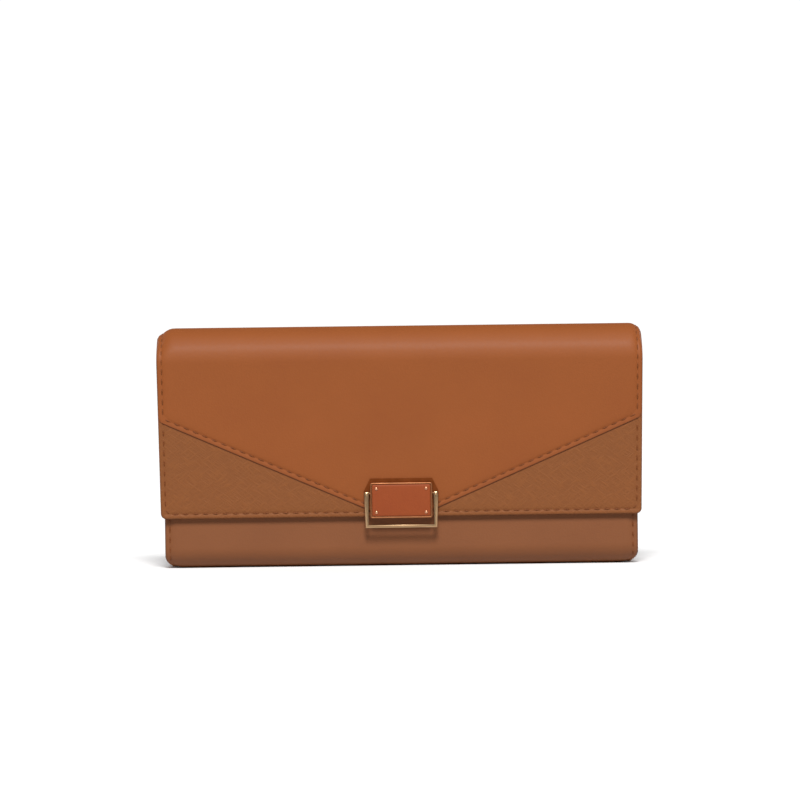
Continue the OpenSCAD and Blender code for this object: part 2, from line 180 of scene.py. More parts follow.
def smooth_leather(name, dark, mid, light, on_sheet=True, roughness=0.64, specular=0.3):
    """Corrected-grain cowhide, pigment-dyed and plated smooth under heat: an even colour, a fine flat
    pebble and a soft sheen, darker on painted edges, where the dark is partly painted shade.

    Real grain cells are about 0.3 mm; they are drawn at 0.8 mm so that they show."""
    mat, tree, shader = start_material(name)
    if on_sheet:
        place = add(tree, "UVMap", {"uv_map": "sheet"})
    else:
        place = add(tree, "TexCoord", out="Object")
    clouds = add(tree, "TexNoise", inputs={"Vector": place, "Scale": 1 / (30 * MM), "Detail": 3.0})
    specks = add(tree, "TexNoise", inputs={"Vector": place, "Scale": 1 / (1.3 * MM), "Detail": 2.0})
    tone = add(tree, "Mix", inputs={0: 0.25, 2: clouds, 3: specks})
    colour = add(tree, "ValToRGB", {"stops": [(0.25, dark), (0.5, mid), (0.78, light)]}, {"Fac": tone})
    rim = add(tree, "Attribute", {"attribute_name": "rim"}, out="Fac")
    # Dark edge paint where the rim mark is set, partly painted shade under the V overlay's step.
    colour = add(tree, "Mix", {"data_type": "RGBA"}, {MIX_FACTOR: rim, MIX_A: colour, MIX_B: EDGE_PAINT_AND_SHADE})
    cells = add(tree, "TexVoronoi", {"feature": "SMOOTH_F1"},
                {"Vector": place, "Scale": 1 / (0.8 * MM), "Smoothness": 0.5})
    creases = add(tree, "TexNoise", inputs={"Vector": place, "Scale": 1 / (7 * MM), "Detail": 4.0,
                                            "Roughness": 0.6})
    soft = add(tree, "Bump", inputs={"Height": creases, "Distance": 0.12 * MM, "Strength": 0.35})
    grain = add(tree, "Bump", inputs={"Height": cells, "Distance": 0.05 * MM, "Strength": 0.45,
                                      "Normal": soft})
    gloss = add(tree, "MapRange", inputs={"Value": specks, "To Min": roughness - 0.06,
                                          "To Max": roughness + 0.08})
    shade(tree, shader, Base_Color=colour, Normal=grain, Roughness=gloss, IOR=1.4,
          Specular_IOR_Level=specular, Coat_Weight=0.013, Coat_Roughness=0.27)
    return mat


def cross_grain_leather():
    """Split leather, coated and pressed with a cross-hatch roller: fine broken ridges on two slants.

    The real hatch is about 0.6 mm from line to line; it is drawn at 0.7 mm so that it shows."""
    mat, tree, shader = start_material("cross_grain_leather")
    place = add(tree, "UVMap", {"uv_map": "sheet"})
    hatch = []
    for angle in (52, -52):
        turned = add(tree, "Mapping", inputs={"Vector": place, "Rotation": (0, 0, math.radians(angle))})
        drawn_out = add(tree, "Mapping", inputs={"Vector": turned, "Scale": (1.0, 0.12, 1.0)})
        hatch.append(add(tree, "TexNoise", inputs={"Vector": drawn_out, "Scale": 1 / (0.7 * MM),
                                                   "Detail": 2.0, "Roughness": 0.6}))
    ridges = add(tree, "Math", {"operation": "MAXIMUM"}, {0: hatch[0], 1: hatch[1]})
    height = add(tree, "MapRange", inputs={"Value": ridges, "From Min": 0.42, "From Max": 0.72})
    colour = add(tree, "ValToRGB", {"stops": [(0.1, "#6c3c16"), (0.5, "#6f3e17"), (0.9, "#734119")]},
                 {"Fac": height})
    rim = add(tree, "Attribute", {"attribute_name": "rim"}, out="Fac")
    # Dark edge paint where a rim mark is set, partly painted shade.
    colour = add(tree, "Mix", {"data_type": "RGBA"}, {MIX_FACTOR: rim, MIX_A: colour, MIX_B: EDGE_PAINT_AND_SHADE})
    relief = add(tree, "Bump", inputs={"Height": height, "Distance": 0.1 * MM, "Strength": 0.7})
    gloss = add(tree, "MapRange", inputs={"Value": height, "To Min": 0.64, "To Max": 0.5})
    shade(tree, shader, Base_Color=colour, Normal=relief, Roughness=gloss, IOR=1.4,
          Specular_IOR_Level=0.4)
    return mat


def twill_lining():
    """Spun polyester twill: slanted ribs of fine thread, dull, with a faint sheen.

    Real ribs are about 0.5 mm apart; they are drawn at 0.9 mm so that they show."""
    mat, tree, shader = start_material("twill_lining")
    place = add(tree, "UVMap", {"uv_map": "sheet"})
    turned = add(tree, "Mapping", inputs={"Vector": place, "Rotation": (0, 0, math.radians(50))})
    ribs = add(tree, "TexWave", inputs={"Vector": turned, "Scale": 1 / (0.9 * MM * WAVE),
                                        "Distortion": 0.6, "Detail": 2.0}, out="Fac")
    slub = add(tree, "TexNoise", inputs={"Vector": place, "Scale": 1 / (4 * MM), "Detail": 3.0})
    tone = add(tree, "Mix", inputs={0: 0.3, 2: ribs, 3: slub})
    colour = add(tree, "ValToRGB", {"stops": [(0.1, "#472a18"), (0.55, "#5f3c25"), (0.9, "#734c32")]},
                 {"Fac": tone})
    relief = add(tree, "Bump", inputs={"Height": ribs, "Distance": 0.1 * MM, "Strength": 0.7})
    gloss = add(tree, "MapRange", inputs={"Value": ribs, "To Min": 0.9, "To Max": 0.78})
    shade(tree, shader, Base_Color=colour, Normal=relief, Roughness=gloss, Sheen_Weight=0.05)
    return mat


def waxed_thread(name, dark, light):
    """Bonded polyester sewing thread, waxed: plies whose twist shows as slanted bands."""
    mat, tree, shader = start_material(name)
    place = add(tree, "TexCoord", out="Object")
    twist = add(tree, "TexWave", {"bands_direction": "DIAGONAL"},
                {"Vector": place, "Scale": 1 / (0.5 * MM * WAVE)}, out="Fac")
    colour = add(tree, "ValToRGB", {"stops": [(0.1, dark), (0.9, light)]}, {"Fac": twist})
    relief = add(tree, "Bump", inputs={"Height": twist, "Distance": 0.05 * MM, "Strength": 0.6})
    gloss = add(tree, "MapRange", inputs={"Value": twist, "To Min": 0.6, "To Max": 0.48})
    shade(tree, shader, Base_Color=colour, Normal=relief, Roughness=gloss, Specular_IOR_Level=0.15)
    return mat


def polished_metal(name, bright, dull, roughness, scratch=0.25):
    """Zinc, brass or steel, polished and plated: bright, with fine wiping marks and duller patches."""
    mat, tree, shader = start_material(name)
    place = add(tree, "TexCoord", out="Object")
    patches = add(tree, "TexNoise", inputs={"Vector": place, "Scale": 1 / (4 * MM), "Detail": 3.0})
    along = add(tree, "Mapping", inputs={"Vector": place, "Scale": (1.0, 1.0, 9.0)})
    marks = add(tree, "TexNoise", inputs={"Vector": along, "Scale": 1 / (0.6 * MM), "Detail": 2.0})
    colour = add(tree, "Mix", {"data_type": "RGBA"}, {MIX_FACTOR: patches, MIX_A: bright, MIX_B: dull})
    gloss = add(tree, "MapRange", inputs={"Value": patches, "To Min": roughness * 0.75,
                                          "To Max": roughness * 1.3})
    relief = add(tree, "Bump", inputs={"Height": marks, "Distance": 0.01 * MM, "Strength": scratch})
    shade(tree, shader, Base_Color=colour, Normal=relief, Roughness=gloss, Metallic=1.0)
    return mat


def pressed_board():
    """Leather-fibre board, pressed from ground scraps: matt, speckled with short fibres."""
    mat, tree, shader = start_material("fibre_board")
    place = add(tree, "TexCoord", out="Object")
    fibres = add(tree, "TexNoise", inputs={"Vector": place, "Scale": 1 / (0.8 * MM), "Detail": 4.0,
                                           "Roughness": 0.7})
    colour = add(tree, "ValToRGB", {"stops": [(0.3, "#8a6b4b"), (0.7, "#b39270")]}, {"Fac": fibres})
    relief = add(tree, "Bump", inputs={"Height": fibres, "Distance": 0.08 * MM, "Strength": 0.6})
    gloss = add(tree, "MapRange", inputs={"Value": fibres, "To Min": 0.95, "To Max": 0.8})
    shade(tree, shader, Base_Color=colour, Normal=relief, Roughness=gloss)
    return mat


def woven_tape():
    """Polyester zip tape: a fine square weave, dull.

    Real threads are about 0.35 mm apart; they are drawn at 0.6 mm so that they show."""
    mat, tree, shader = start_material("woven_tape")
    place = add(tree, "TexCoord", out="Object")
    threads = [add(tree, "TexWave", {"bands_direction": way},
                   {"Vector": place, "Scale": 1 / (0.6 * MM * WAVE)}, out="Fac") for way in "XY"]
    weave = add(tree, "Math", {"operation": "MULTIPLY"}, {0: threads[0], 1: threads[1]})
    colour = add(tree, "ValToRGB", {"stops": [(0.0, "#4f3120"), (1.0, "#75503a")]}, {"Fac": weave})
    relief = add(tree, "Bump", inputs={"Height": weave, "Distance": 0.08 * MM, "Strength": 0.7})
    gloss = add(tree, "MapRange", inputs={"Value": weave, "To Min": 0.9, "To Max": 0.78})
    shade(tree, shader, Base_Color=colour, Normal=relief, Roughness=gloss)
    return mat


LEATHER = smooth_leather("smooth_leather", "#773d17", "#7a4018", "#7e421a")
# The flap's leather, painted darker and browner as painted shade below the flap; it shines a little
# more.
FRONT_LEATHER_PAINTED_SHADE = smooth_leather("smooth_leather_front", "#683a1a", "#6c3d1c", "#70401e", specular=0.48)
INLAY = smooth_leather("inlay_leather", "#773312", "#7d3814", "#843d18", on_sheet=False, roughness=0.6)
CROSS_GRAIN = cross_grain_leather()
TWILL = twill_lining()
THREAD = waxed_thread("waxed_thread", "#5c3014", "#703c1b")
GOLD = polished_metal("gold_plated_zinc", "#bf9e79", "#9a7a58", 0.32, scratch=0.02)
ROSE_GOLD = polished_metal("rose_gold_plate", "#a36d4a", "#8a5838", 0.5)
PALE_GOLD = polished_metal("pale_gold_plate", "#d9a583", "#c08a68", 0.34)
# The backplate's dark bronze is painted shade, darkened for the shaded recess round the clasp plate's
# top.
DARK_GOLD_PAINTED_SHADE = polished_metal("bronze_plate_painted_shade", "#834522", "#613013", 0.58)
ZIP_METAL = polished_metal("zip_brass", "#d8ab68", "#a97c41", 0.3)
STEEL = polished_metal("nickel_plated_steel", "#c9c6c0", "#a5a29c", 0.3)
BOARD = pressed_board()
TAPE = woven_tape()

# ------------------------------------------------------------------ the leather's route round the wallet


class Route:
    """A path in the depth-height plane made of straight runs and left-hand turns.

    The leather's outer face looks to the right of the way the path goes."""

    def __init__(self, y, z, heading):
        self.runs = []
        self.length = 0.0
        self.y, self.z, self.heading = y, z, math.radians(heading)

    def line(self, length):
        self.runs.append((self.length, length, self.y, self.z, self.heading, 0.0))
        self.y += length * math.cos(self.heading)
        self.z += length * math.sin(self.heading)
        self.length += length
        return self

    def turn(self, radius, degrees):
        length = radius * math.radians(degrees)
        self.runs.append((self.length, length, self.y, self.z, self.heading, radius))
        cy = self.y - radius * math.sin(self.heading)
        cz = self.z + radius * math.cos(self.heading)
        self.heading += math.radians(degrees)
        self.y = cy + radius * math.sin(self.heading)
        self.z = cz - radius * math.cos(self.heading)
        self.length += length
        return self

    def at(self, s):
        """Place and outward normal, both in (y, z), at a length along the path."""
        run = next((r for r in reversed(self.runs) if s >= r[0] - 1e-9), self.runs[0])
        start, _, y, z, heading, radius = run
        d = s - start
        if radius == 0.0:
            y, z = y + d * math.cos(heading), z + d * math.sin(heading)
        else:
            cy, cz = y - radius * math.sin(heading), z + radius * math.cos(heading)
            heading += d / radius
            y, z = cy + radius * math.sin(heading), cz - radius * math.cos(heading)
        return (y, z), (math.sin(heading), -math.cos(heading))

    def place(self, x, s, h):
        """The point at x across and s along, h outside the leather's nominal face."""
        (y, z), (ny, nz) = self.at(s)
        return Vector((x, y + ny * h, z + nz * h))


# Base, back, roll and flap are one route; the front panel and its turn into the base are another.
BODY = Route(FRONT_Y + BASE_R, 0.0, 0.0)
BODY.line(BACK_Y - FRONT_Y - 2 * BASE_R).turn(BASE_R, 90).line(ROLL_Z - BASE_R)
S_ROLL = BODY.length
BODY.turn(ROLL_R, 180)
S_FLAP = BODY.length
BODY.line(ROLL_Z - FLAP_EDGE_Z)
S_EDGE = BODY.length

FRONT = Route(FRONT_Y, FRONT_TOP_Z, -90.0)
FRONT.line(FRONT_TOP_Z - BASE_R)
S_FRONT_TURN = FRONT.length
FRONT.turn(BASE_R, 90)


def roll_s(angle):
    """Length along the body's route to an angle of the roll, 0 at the back and 180 at the flap."""
    return S_ROLL + ROLL_R * math.radians(angle)


def flap_s(z):
    return S_FLAP + ROLL_Z - z


def corner_tuck(z):
    """How far the lower corners are drawn in near the floor."""
    t = max(0.0, 1 - z / TUCK_HEIGHT)
    return TUCK_DEPTH * (1 - math.sqrt(max(0.0, 1 - t * t)))


def body_half(s):
    """Half width of the outer leather along its route: narrow base, wider roll, tapering flap."""
    if s < S_ROLL:
        (_, z), _ = BODY.at(s)
        t = max(0.0, min(1.0, (z - BASE_R) / (ROLL_Z - BASE_R)))
        return BODY_HALF + (FLAP_HALF - BODY_HALF) * t - corner_tuck(z)
    if s < S_FLAP:
        return FLAP_HALF
    return FLAP_HALF + (FLAP_LOW_HALF - FLAP_HALF) * (s - S_FLAP) / (S_EDGE - S_FLAP)


def smoothstep(t):
    t = max(0.0, min(1.0, t))
    return t * t * (3 - 2 * t)


def even(a, b, count):
    return [a + (b - a) * i / count for i in range(count + 1)]


def round_cut(d, r):
    """What a corner of radius r takes off, at distance d in from the edge where it ends."""
    return r - math.sqrt(max(0.0, r ** 2 - (r - d) ** 2)) if d < r else 0.0


def turned_edge(d, r=HALF_WALL, groove=0.2 * MM, margin=0.4 * MM, inset=STITCH_INSET):
    """Height of a turned and stitched edge at distance d from it, below the face of the panel.

    A quarter round, a flat margin, a groove that the stitches pull down, a soft rise to the panel."""
    height = -margin * (1 - smoothstep((d - inset * 0.9) / (3 * MM)))
    height -= groove * math.exp(-((d - inset) / (0.5 * MM)) ** 2)
    return height - round_cut(d, r)


def end_droop(x, s):
    """How far the roll's ends sink, because nothing inside fills the leather there."""
    half = body_half(s)
    along = smoothstep((s - S_ROLL) / (ROLL_R * 0.7)) * smoothstep((S_FLAP - s) / (ROLL_R * 0.9))
    reach, depth, power = LEFT_DROOP if x < 0 else RIGHT_DROOP
    t = max(0.0, (abs(x) - (half - reach)) / reach)
    return -depth * along * t ** power


def round_steps(r):
    """Places in from an edge that follow a quarter round."""
    return [r * (1 - math.cos(math.radians(a))) for a in even(0, 90, 6)]


SEAM_STEPS = [d * MM for d in (1.6, 1.9, 2.1, 2.3, 2.5, 2.7, 3.1, 3.8, 4.8, 6.0, 7.5)]
MARGINS = round_steps(HALF_WALL) + SEAM_STEPS


def spread(a, b, steps_a, steps_b, count):
    """Places from a to b: fine steps in from either end, even steps between them."""
    reach_a = steps_a[-1] if steps_a else 0.0
    reach_b = steps_b[-1] if steps_b else 0.0
    scale = min(1.0, (b - a) / max(1e-9, 1.15 * (reach_a + reach_b)))
    first = [a + d * scale for d in (steps_a or [0.0])]
    last = [b - d * scale for d in (steps_b or [0.0])]
    inner = [first[-1] + (last[-1] - first[-1]) * i / count for i in range(1, count)]
    return first + inner + last[::-1]


def close_sheet(bm, uv, faces_of, where):
    """Faces over two grids of vertices, and walls round them. Where has each vertex's place."""
    top, under = faces_of
    rows, cols = len(top), len(top[0])
    for k, grid in enumerate(faces_of):
        for i in range(rows - 1):
            for j in range(cols - 1):
                quad = [grid[i][j], grid[i][j + 1], grid[i + 1][j + 1], grid[i + 1][j]]
                bm.faces.new(quad if k == 0 else quad[::-1])
    border = [(0, j) for j in range(cols)] + [(i, cols - 1) for i in range(1, rows)]
    border += [(rows - 1, j) for j in range(cols - 2, -1, -1)] + [(i, 0) for i in range(rows - 2, 0, -1)]
    for (i0, j0), (i1, j1) in zip(border, border[1:] + border[:1]):
        wall = bm.faces.new([top[i1][j1], top[i0][j0], under[i0][j0], under[i1][j1]])
        for edge in wall.edges:
            edge.smooth = False
    for face in bm.faces:
        face.smooth = True
        for loop in face.loops:
            loop[uv].uv = where[loop.vert]


def carried(piece, body, slot, *nodes):
    """The piece rides on one body and stands for the nodes, if any are named; the slot is not used."""
    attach(piece, body)
    if nodes:
        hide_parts(*nodes)


def skin(name, net, route, outer, inner, material, **marks):
    """A closed sheet over a net of (x, s) points, from outer(x, s) to inner(x, s) off the route.

    Each mark is a function of (x, s) that is stored for the shader, from 0 to 1: rim is 1 on a cut and
    painted edge, whose dark is partly painted shade."""
    bm = bmesh.new()
    uv = bm.loops.layers.uv.new("sheet")
    layers = {key: bm.verts.layers.float.new(key) for key in marks}
    faces_of = []
    for side in (outer, inner):
        faces_of.append([[bm.verts.new(route.place(x, s, side(x, s))) for x, s in row] for row in net])
    where = {}
    for grid in faces_of:
        for verts, row in zip(grid, net):
            where.update(zip(verts, row))
    close_sheet(bm, uv, faces_of, where)
    for key, mark in marks.items():
        for vert, (x, s) in where.items():
            vert[layers[key]] = mark(x, s)
    bmesh.ops.remove_doubles(bm, verts=bm.verts, dist=WELD)
    bmesh.ops.dissolve_degenerate(bm, edges=bm.edges, dist=WELD)
    bmesh.ops.recalc_face_normals(bm, faces=bm.faces)
    return finished(name, bm, material)


def finished(name, bm, material):
    """Turns a bmesh into a linked object with its material."""
    mesh = bpy.data.meshes.new(name)
    bm.to_mesh(mesh)
    bm.free()
    mesh.materials.append(material)
    piece = bpy.data.objects.new(name, mesh)
    bpy.context.scene.collection.objects.link(piece)
    return piece


def net_of(s_places, left, right, steps_left=MARGINS, steps_right=MARGINS, count=24):
    """Rows of points across the sheet between its left and right outlines."""
    return [[(x, s) for x in spread(left(s), right(s), steps_left, steps_right, count)]
            for s in s_places]


# ------------------------------------------------------------------ shell: back, roll, flap, front


def side_height(x, s):
    """The outer face over the back, base and roll: turned at the sides only."""
    return turned_edge(body_half(s) - abs(x)) + end_droop(x, s)


# The inner leather is thinner, so its edge is flatter than the outer one's.
INNER_EDGE = {"margin": 0.1 * MM, "groove": 0.12 * MM}


def half_wall(x, s):
    """The plane where the outer leather and the inner leather meet."""
    return -HALF_WALL


def middle(x, s):
    """The same plane where the roll's ends droop."""
    return -HALF_WALL + end_droop(x, s)


def inner_height(x, s):
    """The inner face, with the same turned edge."""
    return -WALL - turned_edge(body_half(s) - abs(x), **INNER_EDGE) + end_droop(x, s)


def bend_point(angle):
    """The point of the roll's outer face at an angle, 0 at the back and 180 at the flap."""
    a = math.radians(angle)
    return (0.0, ROLL_Y + ROLL_R * math.cos(a), ROLL_Z + ROLL_R * math.sin(a))


def body_net(s_places, count=24):
    return net_of(s_places, lambda s: -body_half(s), body_half, count=count)


def make_back():
    """Base, its turn into the back, and the back panel."""
    s_turned = S_ROLL - (ROLL_Z - BASE_R)
    s_turn = s_turned - BASE_R * math.pi / 2
    places = even(0, s_turn, 3) + even(s_turn, s_turned, 14)[1:] + even(s_turned, S_ROLL, 24)[1:]
    outer = skin("back_skin", body_net(places), BODY, side_height, middle, LEATHER)
    carried(outer, "back", "leather", "back_leather", "base_leather")
    inside = skin("back_inner_skin", body_net(places), BODY, middle, inner_height, LEATHER)
    carried(inside, "back", "leather", "back_lining", "base_lining")


def make_roll():
    """The leather over the top, in two lengths, each with an outer and an inner skin."""
    for tag, a0, a1, first, second in ROLL_SPANS:
        places = even(roll_s(a0), roll_s(a1), ARC_ROWS)
        for kind, outer, inner, layer in (("skin", side_height, middle, "leather"),
                                          ("inner_skin", middle, inner_height, "lining")):
            piece = skin(f"roll_{kind}_{tag}", body_net(places), BODY, outer, inner, LEATHER)
            bend_point(a0)
            bend_point(a1)
            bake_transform(piece)
            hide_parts(f"{second}_{layer}")


def blend_flap(piece):
    """Bakes the piece's placement into its mesh."""
    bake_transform(piece)


def vee_half(s):
    """Half width of the overlay: the flap's own sides, then the V."""
    z = ROLL_Z - (s - S_FLAP)
    return min(body_half(s), max((z - VEE_APEX_Z) / VEE_SLOPE, 0.0))


def vee_distance(x, s):
    """Distance from a point of the overlay to the V's edge."""
    z = ROLL_Z - (s - S_FLAP)
    return (z - (VEE_APEX_Z + VEE_SLOPE * abs(x))) * math.cos(math.atan(VEE_SLOPE))


def vee_paint_and_shade(x, s):
    """The V's edge is painted dark: partly edge paint, partly painted shade under the overlay's step."""
    if s < S_FLAP:
        return 0.0
    return math.exp(-(max(0.0, vee_distance(x, s)) / (0.35 * MM)) ** 2)


def overlay_height(x, s):
    side = turned_edge(body_half(s) - abs(x))
    if s < S_FLAP:
        return side + end_droop(x, s)
    vee = turned_edge(max(0.0, vee_distance(x, s)), r=VEE_DROP, groove=0.22 * MM, margin=0.1 * MM)
    return min(side, vee) if vee_distance(x, s) < 8 * MM else side


def make_flap():
    """Overlay, cross-grain corners and the inner face of the flap."""
    s_side = flap_s(VEE_SIDE_Z)
    arc = even(roll_s(FLAP_ANGLE), S_FLAP, ARC_ROWS)
    upper = arc + even(S_FLAP, s_side, 14)[1:]
    lower_z = VEE_SIDE_Z - FLAP_EDGE_Z
    lower = [s_side + lower_z * t for t in even(0, 1, 46)[1:]]
    # On the V the steps in from the edge are measured along X, so they widen by the slope.
    slant = [d / math.sin(math.atan(VEE_SLOPE)) for d in round_steps(VEE_DROP) + SEAM_STEPS]
    net = []
    for s in upper + lower:
        t = smoothstep((s - s_side + 3 * MM) / (3 * MM))
        steps = [a + (b - a) * t for a, b in zip(MARGINS, slant)]
        half = vee_half(s)
        net.append([(x, s) for x in spread(-half, half, steps, steps, 30)])
    overlay = skin("flap_overlay_skin", net, BODY, overlay_height, middle, LEATHER, rim=vee_paint_and_shade)
    blend_flap(overlay)
    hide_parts("flap_overlay")

    places = arc + spread(S_FLAP, S_EDGE, [0.0], MARGINS, 30)[1:]
    inner_net = net_of(places, lambda s: -flap_outline(s), flap_outline)
    inner = skin("flap_inner_skin", inner_net, BODY, middle, flap_inner_height, LEATHER)
    blend_flap(inner)
    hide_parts("flap_lining")
    make_flap_panel()
    for side, tag in ((-1, "left"), (1, "right")):
        make_corner(side, tag)


def flap_outline(s):
    """Half width of the flap with its rounded lower corners."""
    return body_half(s) - round_cut(S_EDGE - s, CORNER_R)


def flap_distance(x, s):
    """Distance to the flap's side or free edge, round the lower corners."""
    dx, ds = body_half(s) - abs(x), S_EDGE - s
    if dx < CORNER_R and ds < CORNER_R:
        return CORNER_R - math.hypot(CORNER_R - dx, CORNER_R - ds)
    return min(dx, ds)


def flap_inner_height(x, s):
    d = max(0.0, flap_distance(x, s))
    return -WALL - turned_edge(d, **INNER_EDGE) + end_droop(x, s)


def corner_height(x, s):
    d = max(0.0, flap_distance(x, s))
    edge = turned_edge(d, r=HALF_WALL - VEE_DROP, groove=0.16 * MM, margin=0.1 * MM)
    return -VEE_DROP + max(edge, VEE_DROP - HALF_WALL)


def make_flap_panel():
    """The twill panel let into the inner face of the flap, inside its leather border."""
    proud = 0.15 * MM
    steps = [0.0, proud, 0.6 * MM]
    top, bottom = S_FLAP + PANEL_TOP, S_EDGE - PANEL_BORDER
    net = []
    for s in spread(top, bottom, steps, steps, 26):
        half = body_half(s) - PANEL_BORDER
        net.append([(x, s) for x in spread(-half, half, steps, steps, 30)])

    def face(x, s):
        d = min(body_half(s) - PANEL_BORDER - abs(x), s - top, bottom - s)
        return -WALL - proud * smoothstep(d / (0.5 * MM))

    panel = skin("flap_twill_panel", net, BODY, lambda x, s: -WALL + 0.2 * MM, face, TWILL)
    carried(panel, "flap", "lining_fabric")


def make_corner(side, tag):
    """A lower corner of cross-grain leather, running a little way under the overlay."""
    tuck = 4 * MM
    near = 4 * MM
    columns = spread(near, FLAP_HALF - 0.1 * MM, [0.0], MARGINS, 60)
    net = []
    for x in columns:
        top = flap_s(min(VEE_APEX_Z + VEE_SLOPE * x + tuck, VEE_SIDE_Z + 1.5 * MM))
        bottom = S_EDGE - round_cut(max(body_half(S_EDGE) - x, 0.0), CORNER_R)
        row = [(side * min(x, flap_outline(s)), s) for s in spread(top, bottom, [0.0], MARGINS, 20)]
        net.append(row if side > 0 else row[::-1])
    corner = skin(f"flap_corner_skin_{tag}", net, BODY, corner_height, half_wall, CROSS_GRAIN)
    carried(corner, "flap", "cross_grain_leather", f"flap_corner_{tag}")


def front_outline(s):
    (_, z), _ = FRONT.at(s)
    return BODY_HALF - round_cut(s, FRONT_CORNER_R) - corner_tuck(z)


def front_distance(x, s):
    """Distance to the front panel's top or side edge, round its upper corners."""
    dx = BODY_HALF - corner_tuck(FRONT.at(s)[0][1]) - abs(x)
    if dx < FRONT_CORNER_R and s < FRONT_CORNER_R:
        return FRONT_CORNER_R - math.hypot(FRONT_CORNER_R - dx, FRONT_CORNER_R - s)
    return min(dx, s)


def front_height(x, s):
    return turned_edge(max(0.0, front_distance(x, s)))


def front_inner_height(x, s):
    return -WALL - turned_edge(max(0.0, front_distance(x, s)), **INNER_EDGE)


def blend_front(piece):
    """Bakes the piece's placement into its mesh."""
    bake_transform(piece)


def make_front():
    """The front panel and its turn into the base."""
    s_fine = S_FRONT_TURN - 8 * MM
    places = spread(0.0, s_fine, MARGINS, [0.0], 18) + even(s_fine, FRONT.length, 26)[1:]
    net = net_of(places, lambda s: -front_outline(s), front_outline)
    outer = skin("front_skin", net, FRONT, front_height, half_wall, FRONT_LEATHER_PAINTED_SHADE)
    blend_front(outer)
    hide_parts("front_leather")
    inner = skin("front_inner_skin", net, FRONT, half_wall, front_inner_height, LEATHER)
    blend_front(inner)
    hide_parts("front_lining")


# ------------------------------------------------------------------ small solids


def circle(centre, across, over, radius, sides):
    """Points round a circle, from the across direction towards the over direction."""
    angles = [k * math.tau / sides for k in range(sides)]
    return [centre + (across * math.cos(a) + over * math.sin(a)) * radius for a in angles]


def stack(bm, loops, closed=False):
    """Joins loops of points, all with the same count. The ends are capped, or joined if closed."""
    rings = [[bm.verts.new(point) for point in loop] for loop in loops]
    count = len(rings[0])
    for first, second in zip(rings, rings[1:] + rings[:1] if closed else rings[1:]):
        for k in range(count):
            bm.faces.new([first[k], first[(k + 1) % count], second[(k + 1) % count], second[k]])
    if not closed:
        bm.faces.new(rings[0][::-1])
        bm.faces.new(rings[-1])


def solid(name, bm, material, sharp=32):
    """A finished hard piece: smooth shading, broken where faces meet at more than sharp degrees."""
    bmesh.ops.recalc_face_normals(bm, faces=bm.faces)
    for face in bm.faces:
        face.smooth = True
    for edge in bm.edges:
        if edge.calc_face_angle(0.0) > math.radians(sharp):
            edge.smooth = False
    return finished(name, bm, material)


def rounded_rect(half_x, half_y, radius, steps=5):
    """Points round a rectangle with round corners, about the origin."""
    points = []
    for k, (sx, sy) in enumerate(((1, 1), (-1, 1), (-1, -1), (1, -1))):
        for angle in even(90 * k, 90 * k + 90, steps):
            a = math.radians(angle)
            points.append((sx * (half_x - radius) + radius * math.cos(a),
                           sy * (half_y - radius) + radius * math.sin(a)))
    return points


def turned(profile, axis, centre, sides=16):
    """Loops of a turned shape: profile is (radius, place along the axis) pairs in millimetres."""
    axis = Vector(axis).normalized()
    across = axis.orthogonal().normalized()
    over = axis.cross(across)
    return [circle(Vector(centre) + axis * along * MM, across, over, radius * MM, sides)
            for radius, along in profile]


# ------------------------------------------------------------------ stitching


def stitch_mesh(name, stitches, material=THREAD, radius=THREAD_R):
    """Short arched lengths of thread. Each stitch is (start, end, outward normal)."""
    bm = bmesh.new()
    for a, b, normal in stitches:
        along = b - a
        length = along.length
        along.normalize()
        normal = normal.normalized()
        across = along.cross(normal).normalized()
        loops = []
        for t in (0.0, 0.08, 0.25, 0.5, 0.75, 0.92, 1.0):
            swell = math.sin(math.pi * min(1.0, max(0.0, 0.12 + 0.76 * t)))
            r = radius * (0.35 + 0.65 * swell)
            centre = a + along * length * t + normal * radius * (1.3 * math.sin(math.pi * t) - 0.8)
            loops.append(circle(centre, across, normal, r, 6))
        stack(bm, loops)
    return solid(name, bm, material, sharp=180)


def seam(route, points, height):
    """Stitches along a polyline of (x, s) points on a route, at the face's own height."""
    lengths = [0.0]
    for (x0, s0), (x1, s1) in zip(points, points[1:]):
        lengths.append(lengths[-1] + math.hypot(x1 - x0, s1 - s0))
    total = lengths[-1]
    count = max(1, round(total / STITCH_PITCH))
    pitch = total / count
    gap = (pitch - STITCH_LEN * pitch / STITCH_PITCH) / 2

    def spot(d):
        k = next((i for i in range(1, len(lengths)) if lengths[i] >= d - 1e-9), len(lengths) - 1)
        t = (d - lengths[k - 1]) / max(1e-9, lengths[k] - lengths[k - 1])
        x = points[k - 1][0] + (points[k][0] - points[k - 1][0]) * t
        s = points[k - 1][1] + (points[k][1] - points[k - 1][1]) * t
        _, (ny, nz) = route.at(s)
        return route.place(x, s, height(x, s)), Vector((0, ny, nz))

    out = []
    for i in range(count):
        a, normal = spot(i * pitch + gap)
        b, _ = spot((i + 1) * pitch - gap)
        out.append((a, b, normal))
    return out


def side_line(s0, s1, side, count=40):
    return [(side * (body_half(s) - STITCH_INSET), s) for s in even(s0, s1, count)]


def stitch_back():
    """Tonal lockstitch along the sides of the back and the first two lengths of the roll."""
    run = []
    for side in (-1, 1):
        run += seam(BODY, side_line(4 * MM, S_ROLL, side), side_height)
    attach(stitch_mesh("stitches_back", run), "back")
    for tag, a0, a1, first, second in ROLL_SPANS:
        run = []
        for side in (-1, 1):
            run += seam(BODY, side_line(roll_s(a0), roll_s(a1), side, 12), side_height)
        piece = stitch_mesh(f"stitches_roll_{tag}", run)
        bend_point(a0)
        bend_point(a1)
        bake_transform(piece)


